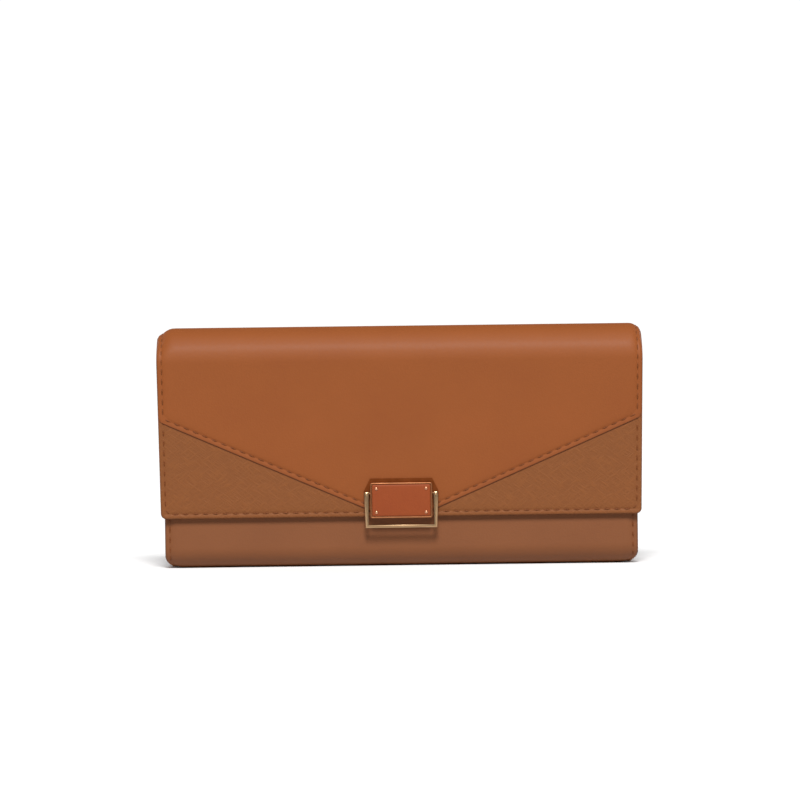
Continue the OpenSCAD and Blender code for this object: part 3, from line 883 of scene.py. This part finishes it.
def corner_line(side, s_top):
    """The seam down the side of a lower corner, round it, and along the free edge to the middle."""
    low_half = body_half(S_EDGE) - CORNER_R
    r = CORNER_R - STITCH_INSET
    line = side_line(s_top, S_EDGE - CORNER_R, side, 10)
    for a in (30, 60, 90):
        turn = math.radians(a)
        line.append((side * (low_half + r * math.cos(turn)), S_EDGE - CORNER_R + r * math.sin(turn)))
    return line + [(side * low_half * (1 - t), S_EDGE - STITCH_INSET) for t in even(0, 1, 10)[1:]]


def vee_line(side, s_side):
    """The seam along one edge of the V, stopping short of the clasp."""
    offset = STITCH_INSET / math.cos(math.atan(VEE_SLOPE))
    places = even(body_half(s_side) - STITCH_INSET, 13 * MM, 12)
    return [(side * x, flap_s(VEE_APEX_Z + VEE_SLOPE * x + offset)) for x in places]


def stitch_flap():
    """The seams round the flap, from the roll's last length down, and along the V."""
    s_side = flap_s(VEE_SIDE_Z)
    flap = []
    vee = []
    for side in (-1, 1):
        flap += seam(BODY, side_line(roll_s(FLAP_ANGLE), s_side - 2 * MM, side, 20), overlay_height)
        flap += seam(BODY, corner_line(side, s_side + 2.5 * MM), corner_height)
        vee += seam(BODY, vee_line(side, s_side), overlay_height)
    blend_flap(stitch_mesh("stitches_flap", flap))
    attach(stitch_mesh("stitches_vee", vee), "flap")


def stitch_front():
    """The seams down the sides of the front panel and along its top."""
    edge = BODY_HALF - STITCH_INSET
    run = []
    for side in (-1, 1):
        line = [(side * edge, s) for s in even(STITCH_INSET, FRONT.length - 6 * MM, 30)]
        run += seam(FRONT, line, front_height)
    run += seam(FRONT, [(-edge, STITCH_INSET), (edge, STITCH_INSET)], front_height)
    blend_front(stitch_mesh("stitches_front", run))


make_back()
make_roll()
make_flap()
make_front()
stitch_back()
stitch_flap()
stitch_front()

# ------------------------------------------------------------------ clasp

PLATE_LOW, PLATE_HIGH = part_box("clasp_plate")
PLATE_Z = (PLATE_LOW.z + PLATE_HIGH.z) / 2
PLATE_CORNER = 0.8 * MM


def clasp_layers(profile, half_x, half_z, corner):
    """Loops of a cushion-cornered block that faces forward: profile is (inset, depth) pairs."""
    loops = []
    for inset, y in profile:
        points = rounded_rect(half_x - inset, half_z - inset, max(0.2 * MM, corner - inset))
        loops.append([Vector((x, y, PLATE_Z + z)) for x, z in points])
    return loops


def make_plate():
    """A shallow tray with a thin bright rim."""
    front, back = PLATE_LOW.y, PLATE_HIGH.y
    steps = [(0.15, 0.0, back), (0.0, -0.15, back), (0.0, 0.32, front), (0.09, 0.1, front),
             (0.24, 0.0, front), (0.42, 0.0, front), (0.55, 0.1, front), (0.62, 0.45, front)]
    profile = [(inset * MM, base + shift * MM) for inset, shift, base in steps]
    bm = bmesh.new()
    stack(bm, clasp_layers(profile, PLATE_HIGH.x, PLATE_HIGH.z - PLATE_Z, PLATE_CORNER))
    plate = solid("clasp_plate_tray", bm, ROSE_GOLD)
    carried(plate, "flap", "gold_plate", "clasp_plate")


def make_inlay():
    """The leather pad that fills the tray, drawn down over its own edge."""
    box_low, box_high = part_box("clasp_inlay")
    steps = [(0.0, 0.9), (0.0, 0.55), (0.05, 0.33), (0.16, 0.2), (0.36, 0.12), (0.75, 0.07), (1.6, 0.04),
             (3.0, 0.02), (4.8, 0.0)]
    profile = [(inset * MM, box_low.y + rise * MM) for inset, rise in steps]
    bm = bmesh.new()
    stack(bm, clasp_layers(profile, box_high.x, box_high.z - PLATE_Z, 0.7 * MM))
    inlay = solid("clasp_inlay_pad", bm, INLAY, sharp=60)
    carried(inlay, "flap", "inlay_leather", "clasp_inlay")


def make_studs():
    """Four domed rivet heads, one near each corner of the pad."""
    stud_low, stud_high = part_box("clasp_studs")
    head = 0.75 * MM
    across, up = stud_high.x - head, stud_high.z - head - PLATE_Z
    dome = [(0.4, 0.9), (0.4, 0.42), (0.62, 0.4), (0.62, 0.3), (0.57, 0.17), (0.43, 0.07), (0.23, 0.01),
            (0.05, 0.0)]
    bm = bmesh.new()
    for sx in (-1, 1):
        for sz in (-1, 1):
            centre = (sx * across, stud_low.y, PLATE_Z + sz * up)
            stack(bm, turned(dome, (0, 1, 0), centre))
    studs = solid("clasp_stud_heads", bm, PALE_GOLD, sharp=50)
    carried(studs, "flap", "gold_plate", "clasp_studs")


def wire_section(outer, inner, half_t, y):
    """A loop round the bar from its outer point to its inner one.

    The bar is drawn wire, flattened: an oval section, blunter than a true ellipse."""
    across = inner - outer
    width = across.length
    across.normalize()
    loop = []
    for k in range(16):
        c, v = math.cos(k * math.tau / 16), math.sin(k * math.tau / 16)
        u = width / 2 * (1 - math.copysign(abs(c) ** 0.8, c))
        loop.append(outer + across * u + Vector((0, y + half_t * math.copysign(abs(v) ** 0.8, v), 0)))
    return loop


def make_bail():
    """The drop bail: two side bars that taper down to a thin bottom bar, mitred, with pivot pins
    and a small domed head on each side bar."""
    bail_low, bail_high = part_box("clasp_bail")
    y = (bail_low.y + bail_high.y) / 2
    half_t = (bail_high.y - bail_low.y) / 2
    top, pivot_z = bail_high.z, bail_high.z - half_t
    top_out, low_out = bail_high.x, bail_high.x - 0.6 * MM
    top_in, low_in = top_out - 2.2 * MM, low_out - 1.2 * MM
    bar_low, bar_top = bail_low.z, bail_low.z + 1.2 * MM
    # Each station is the outer point and the inner point of the bar, (x, z), and how thick it is there.
    near, far = 0.15 * MM, 0.5 * MM
    side = [((top_out - far, top), (top_in + far, top), 0.5),
            ((top_out - near, top - near), (top_in + near, top - near), 0.86),
            ((top_out, pivot_z), (top_in, pivot_z), 1.0),
            ((low_out, bar_low), (low_in, bar_top), 1.0)]
    stations = side + [((-a[0], a[1]), (-b[0], b[1]), k) for a, b, k in side[::-1]]
    bm = bmesh.new()
    stack(bm, [wire_section(Vector((ox, 0, oz)), Vector((ix, 0, iz)), half_t * scale, y)
               for (ox, oz), (ix, iz), scale in stations])
    pin = [(0.25, 0.0), (0.4, 0.15), (0.4, 1.6)]
    head = [(0.5, -0.1), (0.5, 0.06), (0.38, 0.16), (0.1, 0.2)]
    for sx in (-1, 1):
        stack(bm, turned(pin, (sx, 0, 0), (sx * (top_in - 0.55 * MM), y, pivot_z)))
        centre = (sx * (top_in + 1.1 * MM), y - half_t, pivot_z - 0.4 * MM)
        stack(bm, turned(head, (0, -1, 0), centre))
    bail = solid("clasp_drop_bail", bm, GOLD, sharp=45)
    carried(bail, "bail", "gold_plate", "clasp_bail")


make_plate()
make_inlay()
make_studs()
make_bail()

# ------------------------------------------------------------------ inside: card slots

SLOT_ROWS = 4
SLOT_CORNER = 4 * MM
SLOT_CREASE = 1.6 * MM
SLOT_STEP = high("back_slots_1").z - high("back_slots_2").z


def card_slot(panel, row, face_sign):
    """One row of card pockets: a sheet with a creased top edge and a seam down the middle."""
    node = f"{panel}_slots_{row}"
    box_low, box_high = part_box(node)
    half, tall, thick = box_high.x, box_high.z - box_low.z, box_high.y - box_low.y
    if face_sign > 0:
        route = Route(box_high.y, box_low.z, 90.0).line(tall)
    else:
        route = Route(box_low.y, box_high.z, -90.0).line(tall)

    def from_top(s):
        """Distance below the pocket's top at a length along its route, or the other way round."""
        return tall - s if face_sign > 0 else s

    def outline(s):
        return half - round_cut(from_top(s), SLOT_CORNER)

    def face(x, s):
        d = from_top(s)
        height = -0.13 * MM * math.exp(-((d - SLOT_CREASE) / (0.28 * MM)) ** 2)
        height -= 0.12 * MM * math.exp(-(x / (0.5 * MM)) ** 2)
        return height - 0.12 * MM * max(0.0, 1 - d / (0.3 * MM)) - 0.02 * MM

    downs = [d * MM for d in (0, 0.1, 0.3, 0.8, 1.2, 1.4, 1.6, 1.8, 2.0, 2.4, 3.2, 4.0, 7.0, 11.0)]
    net = []
    for s in sorted(from_top(d) for d in downs + [tall]):
        reach = outline(s)
        right = [0.2 * MM, 0.45 * MM, 0.8 * MM, 2 * MM] + even(6 * MM, reach, 12)
        net.append([(-x, s) for x in right[::-1]] + [(0.0, s)] + [(x, s) for x in right])
    sheet = skin(f"{panel}_card_slots_{row}", net, route, face, lambda x, s: 0.01 * MM - thick, LEATHER)
    carried(sheet, panel, "leather", node)
    lines = []
    end = SLOT_STEP - 0.6 * MM if row < SLOT_ROWS else 30 * MM
    for x in (-half + 1.8 * MM, 0.0, half - 1.8 * MM):
        start = 2.4 * MM if x == 0.0 else SLOT_CORNER
        lines += seam(route, [(x, from_top(d)) for d in (start, end)], face)
    return lines


def make_card_slots():
    """Four rows on the back panel and four on the front, each two cards wide."""
    for panel, face_sign in (("back", -1), ("front", 1)):
        lines = []
        for row in range(1, SLOT_ROWS + 1):
            lines += card_slot(panel, row, face_sign)
        stitches = stitch_mesh(f"stitches_slots_{panel}", lines, radius=FINE_THREAD_R)
        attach(stitches, panel)


# ------------------------------------------------------------------ inside: gussets and coin pocket


def sheet_over(name, grid, thickness, material):
    """A sheet of even thickness laid over a grid of points, with its own coordinates in metres."""
    rows, cols = len(grid), len(grid[0])
    bm = bmesh.new()
    uv = bm.loops.layers.uv.new("sheet")
    where = {}
    faces_of = []
    for side in (0.5, -0.5):
        layer = []
        for i in range(rows):
            line = []
            across = 0.0
            for j in range(cols):
                down = grid[min(i + 1, rows - 1)][j] - grid[max(i - 1, 0)][j]
                over = grid[i][min(j + 1, cols - 1)] - grid[i][max(j - 1, 0)]
                across += (grid[i][j] - grid[i][j - 1]).length if j else 0.0
                normal = down.cross(over).normalized()
                vert = bm.verts.new(grid[i][j] + normal * thickness * side)
                where[vert] = (across, (grid[i][j] - grid[0][j]).length)
                line.append(vert)
            layer.append(line)
        faces_of.append(layer)
    close_sheet(bm, uv, faces_of, where)
    bmesh.ops.recalc_face_normals(bm, faces=bm.faces)
    return finished(name, bm, material)


def rounded_path(corners, radius, steps=6):
    """A flat path through corners, each turned with a round of the given radius."""
    points = [Vector(corners[0])]
    for before, here, after in zip(corners, corners[1:], corners[2:]):
        before, here, after = Vector(before), Vector(here), Vector(after)
        back, on = (before - here).normalized(), (after - here).normalized()
        for t in even(0, 1, steps):
            a, b = here + back * radius * (1 - t), here + on * radius * t
            points.append(a.lerp(b, t))
    points.append(Vector(corners[-1]))
    return points


INNER_Y = high("back_slots_1").y
GUSSET_TOP = high("gusset_rear_left").z
GUSSET_LOW = low("gusset_rear_left").z
# The foot is turned in between the base's leather and lining, because an open front panel lifts it
# by about 2 mm.
GUSSET_FOOT = 0.4 * MM
GUSSET_FOLD = low("gusset_rear_right").x + 0.9 * MM
GUSSET_EDGE = high("gusset_rear_right").x - 0.7 * MM
GUSSET_MID_Y = (low("gusset_rear_left").y + high("gusset_rear_left").y) / 2


def make_gussets():
    """A concertina at each end, from the back panel to the front, folded in twice."""
    fold, edge, flange = GUSSET_FOLD, GUSSET_EDGE, GUSSET_EDGE - 2.4 * MM
    plan = [(flange, INNER_Y - 0.6 * MM), (edge, INNER_Y - 0.7 * MM), (fold, GUSSET_MID_Y), (edge, 0.0),
            (fold, -GUSSET_MID_Y), (edge, -INNER_Y + 0.7 * MM), (flange, -INNER_Y + 0.6 * MM)]
    path = rounded_path(plan, 0.9 * MM)
    rows = even(GUSSET_FOOT, WALL, 3) + even(WALL + 0.6 * MM, BASE_R, 6)
    rows += even(BASE_R + 4 * MM, GUSSET_TOP, 12)
    inner_r = BASE_R - WALL
    for side, tag in ((-1, "left"), (1, "right")):
        grid = []
        for z in rows:
            # The folds close up a little towards the foot, which follows the round of the base.
            pinch = 1.2 * MM * (1 - smoothstep((z - GUSSET_LOW) / (30 * MM)))
            round_in = math.sqrt(max(0.0, inner_r ** 2 - max(0.0, BASE_R - z) ** 2))
            narrow = (BACK_Y - BASE_R + round_in) / (BACK_Y - WALL)
            row = []
            for p in path:
                drawn = pinch * (1 if p.x > GUSSET_FOLD + 3 * MM else -0.3)
                row.append(Vector((side * (p.x - drawn), p.y * narrow, z)))
            grid.append(row)
        gusset = sheet_over(f"gusset_fold_{tag}", grid, THIN_LEATHER, LEATHER)
        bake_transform(gusset)
        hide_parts(f"gusset_rear_{tag}", f"gusset_front_{tag}")


POCKET_Y = high("pocket_back").y
POCKET_TOP = high("pocket_back").z
POCKET_LOW = low("pocket_back").z
POCKET_HALF = high("pocket_back").x
POCKET_WALL = POCKET_Y - low("pocket_back").y
POCKET_DEEP = POCKET_TOP - POCKET_LOW - POCKET_Y
POCKET_SEAM = 2.2 * MM
POCKET = Route(-POCKET_Y, POCKET_TOP, -90.0).line(POCKET_DEEP).turn(POCKET_Y, 180).line(POCKET_DEEP)


def pocket_face(x, s):
    """The outside of the coin pocket: turned top edges and a crease where the seam pulls."""
    d = min(s, POCKET.length - s)
    height = -0.1 * MM * math.exp(-((d - POCKET_SEAM) / (0.35 * MM)) ** 2)
    return height - 0.25 * MM * max(0.0, 1 - d / (0.4 * MM)) ** 2


def make_coin_pocket():
    """A lined bag: one wall, round the bottom and up the other, with folded-in ends."""
    downs = [d * MM for d in (0, 0.15, 0.4, 1.0, 1.6, 1.9, 2.2, 2.5, 2.9, 4.0)]
    wall = downs + even(10 * MM, POCKET_DEEP, 8)
    s_places = wall + even(POCKET_DEEP, POCKET_DEEP + POCKET_Y * math.pi, 14)[1:]
    s_places += [POCKET.length - s for s in wall[::-1]][1:]
    half = POCKET_HALF - 0.3 * MM
    net = [[(x, s) for x in even(-half, half, 28)] for s in s_places]

    def core(x, s):
        return -POCKET_WALL / 2

    def lining(x, s):
        return -POCKET_WALL

    shell = skin("coin_pocket_shell", net, POCKET, pocket_face, core, LEATHER)
    carried(shell, "coin_pocket", "leather", "pocket_front")
    bag = skin("coin_pocket_bag", net, POCKET, core, lining, TWILL)
    carried(bag, "coin_pocket", "lining_fabric", "pocket_back")
    for side, tag in ((-1, "left"), (1, "right")):
        make_pocket_end(side, tag)
        make_pocket_wing(side, tag)
    seams = []
    for s in (POCKET_SEAM, POCKET.length - POCKET_SEAM):
        seams += seam(POCKET, [(-half + 2 * MM, s), (half - 2 * MM, s)], pocket_face)
    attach(stitch_mesh("stitches_coin_pocket", seams, radius=FINE_THREAD_R), "coin_pocket")


def make_pocket_end(side, tag):
    """The end of the bag is one strip, folded in like a gusset."""
    y_out, y_in = POCKET_Y - 0.1 * MM, POCKET_Y - 1.6 * MM
    x_out, x_in = POCKET_HALF - 0.1 * MM, POCKET_HALF - 1.9 * MM
    plan = [(x_out, y_out), (x_in, y_in), (POCKET_HALF + 0.2 * MM, 0.0), (x_in, -y_in), (x_out, -y_out)]
    path = rounded_path(plan, 0.6 * MM, 4)
    grid = [[Vector((side * p.x, p.y, z)) for p in path]
            for z in even(POCKET_LOW + 1.2 * MM, POCKET_TOP - 0.3 * MM, 10)]
    end = sheet_over(f"coin_pocket_end_{tag}", grid, THIN_LEATHER, LEATHER)
    carried(end, "coin_pocket", "leather", f"pocket_binding_{tag}")


def make_pocket_wing(side, tag):
    """The strip that runs out from the middle of the pocket's end towards the gusset's middle fold."""
    reach = GUSSET_EDGE - 2.0 * MM
    grid = []
    for t in even(0, 1, 10):
        row = []
        for x in even(POCKET_HALF - 0.2 * MM, reach, 6):
            u = (x - POCKET_HALF) / (reach - POCKET_HALF)
            top = POCKET_TOP - 1.0 * MM + 4.0 * MM * smoothstep(u)
            bow = 0.25 * MM * math.sin(math.pi * u)
            row.append(Vector((side * x, bow, GUSSET_LOW + (top - GUSSET_LOW) * t)))
        grid.append(row)
    wing = sheet_over(f"coin_pocket_wing_{tag}", grid, THIN_LEATHER, LEATHER)
    carried(wing, "coin_pocket", "leather")


# ------------------------------------------------------------------ inside: zip

CHAIN_Z = (low("zip_teeth_front").z + high("zip_teeth_front").z) / 2
TAPE_EDGE = -high("zip_tape_front").y
TAPE_HALF = high("zip_tape_front").x
TOOTH_PITCH = 2.5 * MM
TEETH = 60
# The slider's lugs: radius, thickness, and distance of their inner faces from the middle.
LUG_R = 1.1 * MM
LUG_THICK = 0.6 * MM
LUG_Y = 1.18 * MM


def make_tapes():
    """Two tapes from the pocket's walls to the teeth, each with a corded edge."""
    for sign, tag in ((-1, "front"), (1, "back")):
        across = [(POCKET_Y - 0.5 * MM, -0.15), (POCKET_Y - 1.2 * MM, -0.05), (2.2 * MM, 0.0),
                  (1.6 * MM, 0.06), (1.2 * MM, 0.16), (TAPE_EDGE, 0.1)]
        grid = []
        for x in even(-TAPE_HALF, TAPE_HALF, 40):
            wave = 0.04 * MM * math.sin(x / (3.1 * MM))
            grid.append([Vector((x, sign * y, CHAIN_Z + rise * MM + wave)) for y, rise in across])
        tape = sheet_over(f"zip_tape_weave_{tag}", grid, 0.5 * MM, TAPE)
        carried(tape, "coin_pocket", "zip_tape_fabric", f"zip_tape_{tag}")


def chamfered(half_x, half_z, cut):
    """Eight points round a rectangle with cut corners."""
    x_in, z_in = half_x - cut, half_z - cut
    return [(half_x, z_in), (x_in, half_z), (-x_in, half_z), (-half_x, z_in),
            (-half_x, -z_in), (-x_in, -half_z), (x_in, -half_z), (half_x, -z_in)]


def make_teeth():
    """Moulded teeth, square where they clamp the tape and narrowed to a nose."""
    profile = [(1.95, 0.45, 0.72), (1.8, 0.6, 0.9), (1.15, 0.6, 0.9), (0.85, 0.44, 0.72),
               (0.55, 0.38, 0.62), (0.46, 0.28, 0.5)]
    for sign, tag in ((-1, "front"), (1, "back")):
        first = low(f"zip_teeth_{tag}").x + 0.6 * MM
        bm = bmesh.new()
        for i in range(TEETH):
            x0 = first + i * TOOTH_PITCH
            loops = []
            for y, half_x, half_z in profile:
                points = chamfered(half_x * MM, half_z * MM, 0.16 * MM)
                loops.append([Vector((x0 + x, sign * y * MM, CHAIN_Z + z)) for x, z in points])
            stack(bm, loops)
        teeth = solid(f"zip_teeth_moulded_{tag}", bm, ZIP_METAL, sharp=25)
        carried(teeth, "coin_pocket", "zip_metal", f"zip_teeth_{tag}")


def make_stops():
    """A bent staple across both tapes at each end of the teeth."""
    stop_low, stop_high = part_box("zip_stops")
    leg = [(2.0, 0.6, -0.35), (1.85, 0.85, -0.1), (1.2, 1.0, 0.0)]
    profile = [(-y, half_x, rise) for y, half_x, rise in leg] + leg[::-1]
    bm = bmesh.new()
    for side in (-1, 1):
        x0 = side * (stop_high.x - 1.0 * MM)
        loops = []
        for y, half_x, rise in profile:
            centre = (stop_low.z + stop_high.z) / 2 + rise * 0.4 * MM
            points = chamfered(half_x * MM, (0.5 + rise * 0.5) * MM, 0.12 * MM)
            loops.append([Vector((x0 + x, y * MM, centre + z)) for x, z in points])
        stack(bm, loops)
    stops = solid("zip_stop_staples", bm, ZIP_METAL)
    carried(stops, "coin_pocket", "zip_metal", "zip_stops")


def slab(bm, outline, low_z, high_z, edge, centre):
    """A flat plate of the given outline with rounded-over edges above and below."""
    half_x = max(abs(x - centre[0]) for x, _ in outline)
    half_y = max(abs(y - centre[1]) for _, y in outline)
    soft = edge * 0.3
    section = [(edge, low_z), (soft, low_z + soft), (0.0, low_z + edge),
               (0.0, high_z - edge), (soft, high_z - soft), (edge, high_z)]
    loops = []
    for inset, z in section:
        fx, fy = 1 - inset / half_x, 1 - inset / half_y
        loops.append([Vector((centre[0] + (x - centre[0]) * fx, centre[1] + (y - centre[1]) * fy, z))
                      for x, y in outline])
    stack(bm, loops)


def shield_outline(x0, half, wide):
    """The slider's plate from above: a squared oval, narrower towards its tail."""
    points = []
    for angle in even(0, 360, 28)[:-1]:
        c, v = math.cos(math.radians(angle)), math.sin(math.radians(angle))
        narrow = 1.0 if c > 0 else 1.0 - 0.24 * smoothstep(-c)
        points.append((x0 + half * math.copysign(abs(c) ** 0.55, c),
                       wide * narrow * math.copysign(abs(v) ** 0.55, v)))
    return points


def lug(bm, side, x0, foot_z, pin_z):
    """A round-topped lug that holds one end of the pull's pin."""
    outline = [(-LUG_R, foot_z), (LUG_R, foot_z)]
    outline += [(LUG_R * math.cos(math.radians(a)), pin_z + LUG_R * math.sin(math.radians(a)))
                for a in even(0, 180, 10)]
    loops = []
    for inset, y in ((0.12, 0.0), (0.0, 0.12), (0.0, 0.48), (0.12, 0.6)):
        loops.append([Vector((x0 + x * (1 - inset), side * (LUG_Y + y * MM),
                              z - inset * MM * (1 if z > pin_z else 0))) for x, z in outline])
    stack(bm, loops)


def make_slider():
    """Two shield-shaped plates, a web between them, and two round-topped lugs with a pin."""
    slider_low, slider_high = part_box("zip_slider")
    x0 = (slider_low.x + slider_high.x) / 2
    half = (slider_high.x - slider_low.x) / 2
    shield = shield_outline(x0, half, slider_high.y)
    bm = bmesh.new()
    top_plate = CHAIN_Z + 1.2 * MM
    for z in (top_plate, slider_low.z):
        slab(bm, shield, z, z + 0.8 * MM, 0.22 * MM, (x0, 0.0))
    web = [(x0 + x, y) for x, y in rounded_rect(half / 3, 0.25 * MM, 0.2 * MM)]
    slab(bm, web, slider_low.z + 0.5 * MM, top_plate + 0.4 * MM, 0.05 * MM, (x0, 0.0))
    pull_low, pull_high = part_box("zip_pull")
    pin_z = (pull_low.z + pull_high.z) / 2
    for side in (-1, 1):
        lug(bm, side, x0, top_plate + 0.6 * MM, pin_z)
    pin_half = LUG_Y + LUG_THICK
    pin_len = 2 * pin_half / MM
    pin = [(0.35, 0.0), (0.5, 0.1), (0.5, pin_len - 0.1), (0.35, pin_len)]
    stack(bm, turned(pin, (0, 1, 0), (x0, -pin_half, pin_z)))
    slider = solid("zip_slider_body", bm, ZIP_METAL)
    carried(slider, "zip_slider", "zip_metal", "zip_slider")


def make_pull():
    """The pull: a barrel round the pin, a neck, and a tab with a raised border."""
    pull_low, pull_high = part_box("zip_pull")
    pin_x = pull_low.x + 1.2 * MM
    pin_z = (pull_low.z + pull_high.z) / 2
    eye_half = 1.0 * MM
    bm = bmesh.new()
    ring_out, ring_in, chamfer = 1.18 * MM, 0.6 * MM, 0.12 * MM
    section = [(ring_in, -eye_half), (ring_out - chamfer, -eye_half), (ring_out, -eye_half + chamfer),
               (ring_out, eye_half - chamfer), (ring_out - chamfer, eye_half), (ring_in, eye_half)]
    along_x, along_z = Vector((1, 0, 0)), Vector((0, 0, 1))
    ring = [circle(Vector((pin_x, y, pin_z)), along_x, along_z, r, 24) for r, y in section]
    stack(bm, ring, closed=True)
    wide = pull_high.y
    outline = [(pin_x + 0.9 * MM, 0.75 * MM), (pin_x + 2.6 * MM, 0.8 * MM), (pin_x + 3.4 * MM, 1.3 * MM),
               (pin_x + 4.6 * MM, wide)]
    nose = pull_high.x - wide
    outline += [(nose + wide * math.sin(math.radians(a)), wide * math.cos(math.radians(a)))
                for a in even(0, 90, 8)]
    outline = outline + [(x, -y) for x, y in outline[-2::-1]]
    centre = (pin_x + 6.5 * MM, 0.0)
    slab(bm, outline, pin_z - 0.5 * MM, pin_z + 0.5 * MM, 0.16 * MM, centre)
    tab = [(centre[0] + 1.3 * MM + x, y) for x, y in rounded_rect(3.3 * MM, 1.25 * MM, 1.2 * MM)]
    slab(bm, tab, pin_z - 0.6 * MM, pin_z + 0.6 * MM, 0.14 * MM, (centre[0] + 1.3 * MM, 0.0))
    pull = solid("zip_pull_tab", bm, ZIP_METAL)
    carried(pull, "zip_pull", "zip_metal", "zip_pull")


make_card_slots()
make_gussets()
make_coin_pocket()
make_tapes()
make_teeth()
make_stops()
make_slider()
make_pull()

# ------------------------------------------------------------------ carried-over pieces

# These nodes are kept. The others are hidden, because pieces stand for them.
FINISH = {
    "back_board": BOARD, "front_board": BOARD, "flap_board": BOARD, "flap_magnet": STEEL,
    # The backplate's colour is painted shade.
    "front_magnet": STEEL, "clasp_rivets": STEEL, "clasp_backplate": DARK_GOLD_PAINTED_SHADE,
}
for node_name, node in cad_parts.items():
    material = FINISH.get(node_name, LEATHER)
    if not node.data.materials:
        node.data.materials.append(material)
    for i in range(len(node.material_slots)):
        node.material_slots[i].material = material

# ------------------------------------------------------------------ floor, light and camera

FLOOR_SIZE = 6.0
# How strongly the surround lights the wallet, and how bright it looks.
SURROUND, SURROUND_LOOK = 0.17, 1.05
# Name, power, and spread, elevation and azimuth in degrees.
LAMPS = [("key", 5.25, 20.0, 51.0, 1.5), ("fill_left", 1.1, 40.0, 7.0, -128.0),
         ("fill_right", 1.1, 40.0, 7.0, 128.0)]
# The lens and the sensor in millimetres, and how wide the view is at the flap, in metres.
LENS, SENSOR, VIEW_WIDTH = 180, 36, 0.3205
AIM = Vector((0.0001, 0.0, 0.0664))
# In degrees.
EYE_AZIMUTH, EYE_ELEVATION, EYE_TILT = -0.4, 1.2, -0.7


def make_stage():
    """A plain pale floor, wide enough to run out of sight."""
    bpy.ops.mesh.primitive_plane_add(size=FLOOR_SIZE, location=(0, 0, 0))
    floor = bpy.context.object
    floor.name = "studio_floor"
    mat, tree, shader = start_material("white_paper")
    place = add(tree, "TexCoord", out="Object")
    fibres = add(tree, "TexNoise", inputs={"Vector": place, "Scale": 1 / (2 * MM), "Detail": 2.0})
    relief = add(tree, "Bump", inputs={"Height": fibres, "Distance": 0.02 * MM, "Strength": 0.2})
    shade(tree, shader, Base_Color="#dcdcdc", Normal=relief, Roughness=0.9)
    floor.data.materials.append(mat)


def make_lamp(name, power, spread, elevation, azimuth):
    """A distant softbox: spread is how wide it looks, and azimuth 0 is in front, 90 on the right."""
    light = bpy.data.lights.new(name, "SUN")
    light.energy = power
    light.angle = math.radians(spread)
    lamp = bpy.data.objects.new(name, light)
    up, turn = math.radians(elevation), math.radians(azimuth)
    shine = Vector((-math.sin(turn) * math.cos(up), math.cos(turn) * math.cos(up), -math.sin(up)))
    lamp.rotation_euler = shine.to_track_quat("-Z", "Y").to_euler()
    bpy.context.scene.collection.objects.link(lamp)


def make_light():
    """A weak white surround that looks white itself, a key in front and low fills behind."""
    world = bpy.data.worlds.new("studio")
    bpy.context.scene.world = world
    world.use_nodes = True
    tree = world.node_tree
    background = tree.nodes["Background"]
    seen = add(tree, "LightPath", out="Is Camera Ray")
    strength = add(tree, "MapRange", inputs={"Value": seen, "To Min": SURROUND, "To Max": SURROUND_LOOK})
    background.inputs["Color"].default_value = (1.0, 1.0, 1.0, 1.0)
    tree.links.new(strength, background.inputs["Strength"])
    for lamp in LAMPS:
        make_lamp(*lamp)


def make_camera():
    """A long lens almost straight in front of the wallet, about level with its top."""
    cam = bpy.data.cameras.new("camera")
    cam.lens = LENS
    cam.sensor_width = SENSOR
    eye = bpy.data.objects.new("camera", cam)
    bpy.context.scene.collection.objects.link(eye)
    distance = VIEW_WIDTH * LENS / SENSOR - FLAP_Y
    azimuth, elevation = math.radians(EYE_AZIMUTH), math.radians(EYE_ELEVATION)
    back = Vector((math.sin(azimuth) * math.cos(elevation), -math.cos(azimuth) * math.cos(elevation),
                   math.sin(elevation)))
    eye.location = AIM + back * distance
    eye.rotation_mode = "QUATERNION"
    roll = Quaternion((0, 0, 1), math.radians(EYE_TILT))
    eye.rotation_quaternion = (-back).to_track_quat("-Z", "Y") @ roll
    bpy.context.scene.camera = eye


make_stage()
make_light()
make_camera()
bpy.context.scene.view_settings.view_transform = "Standard"
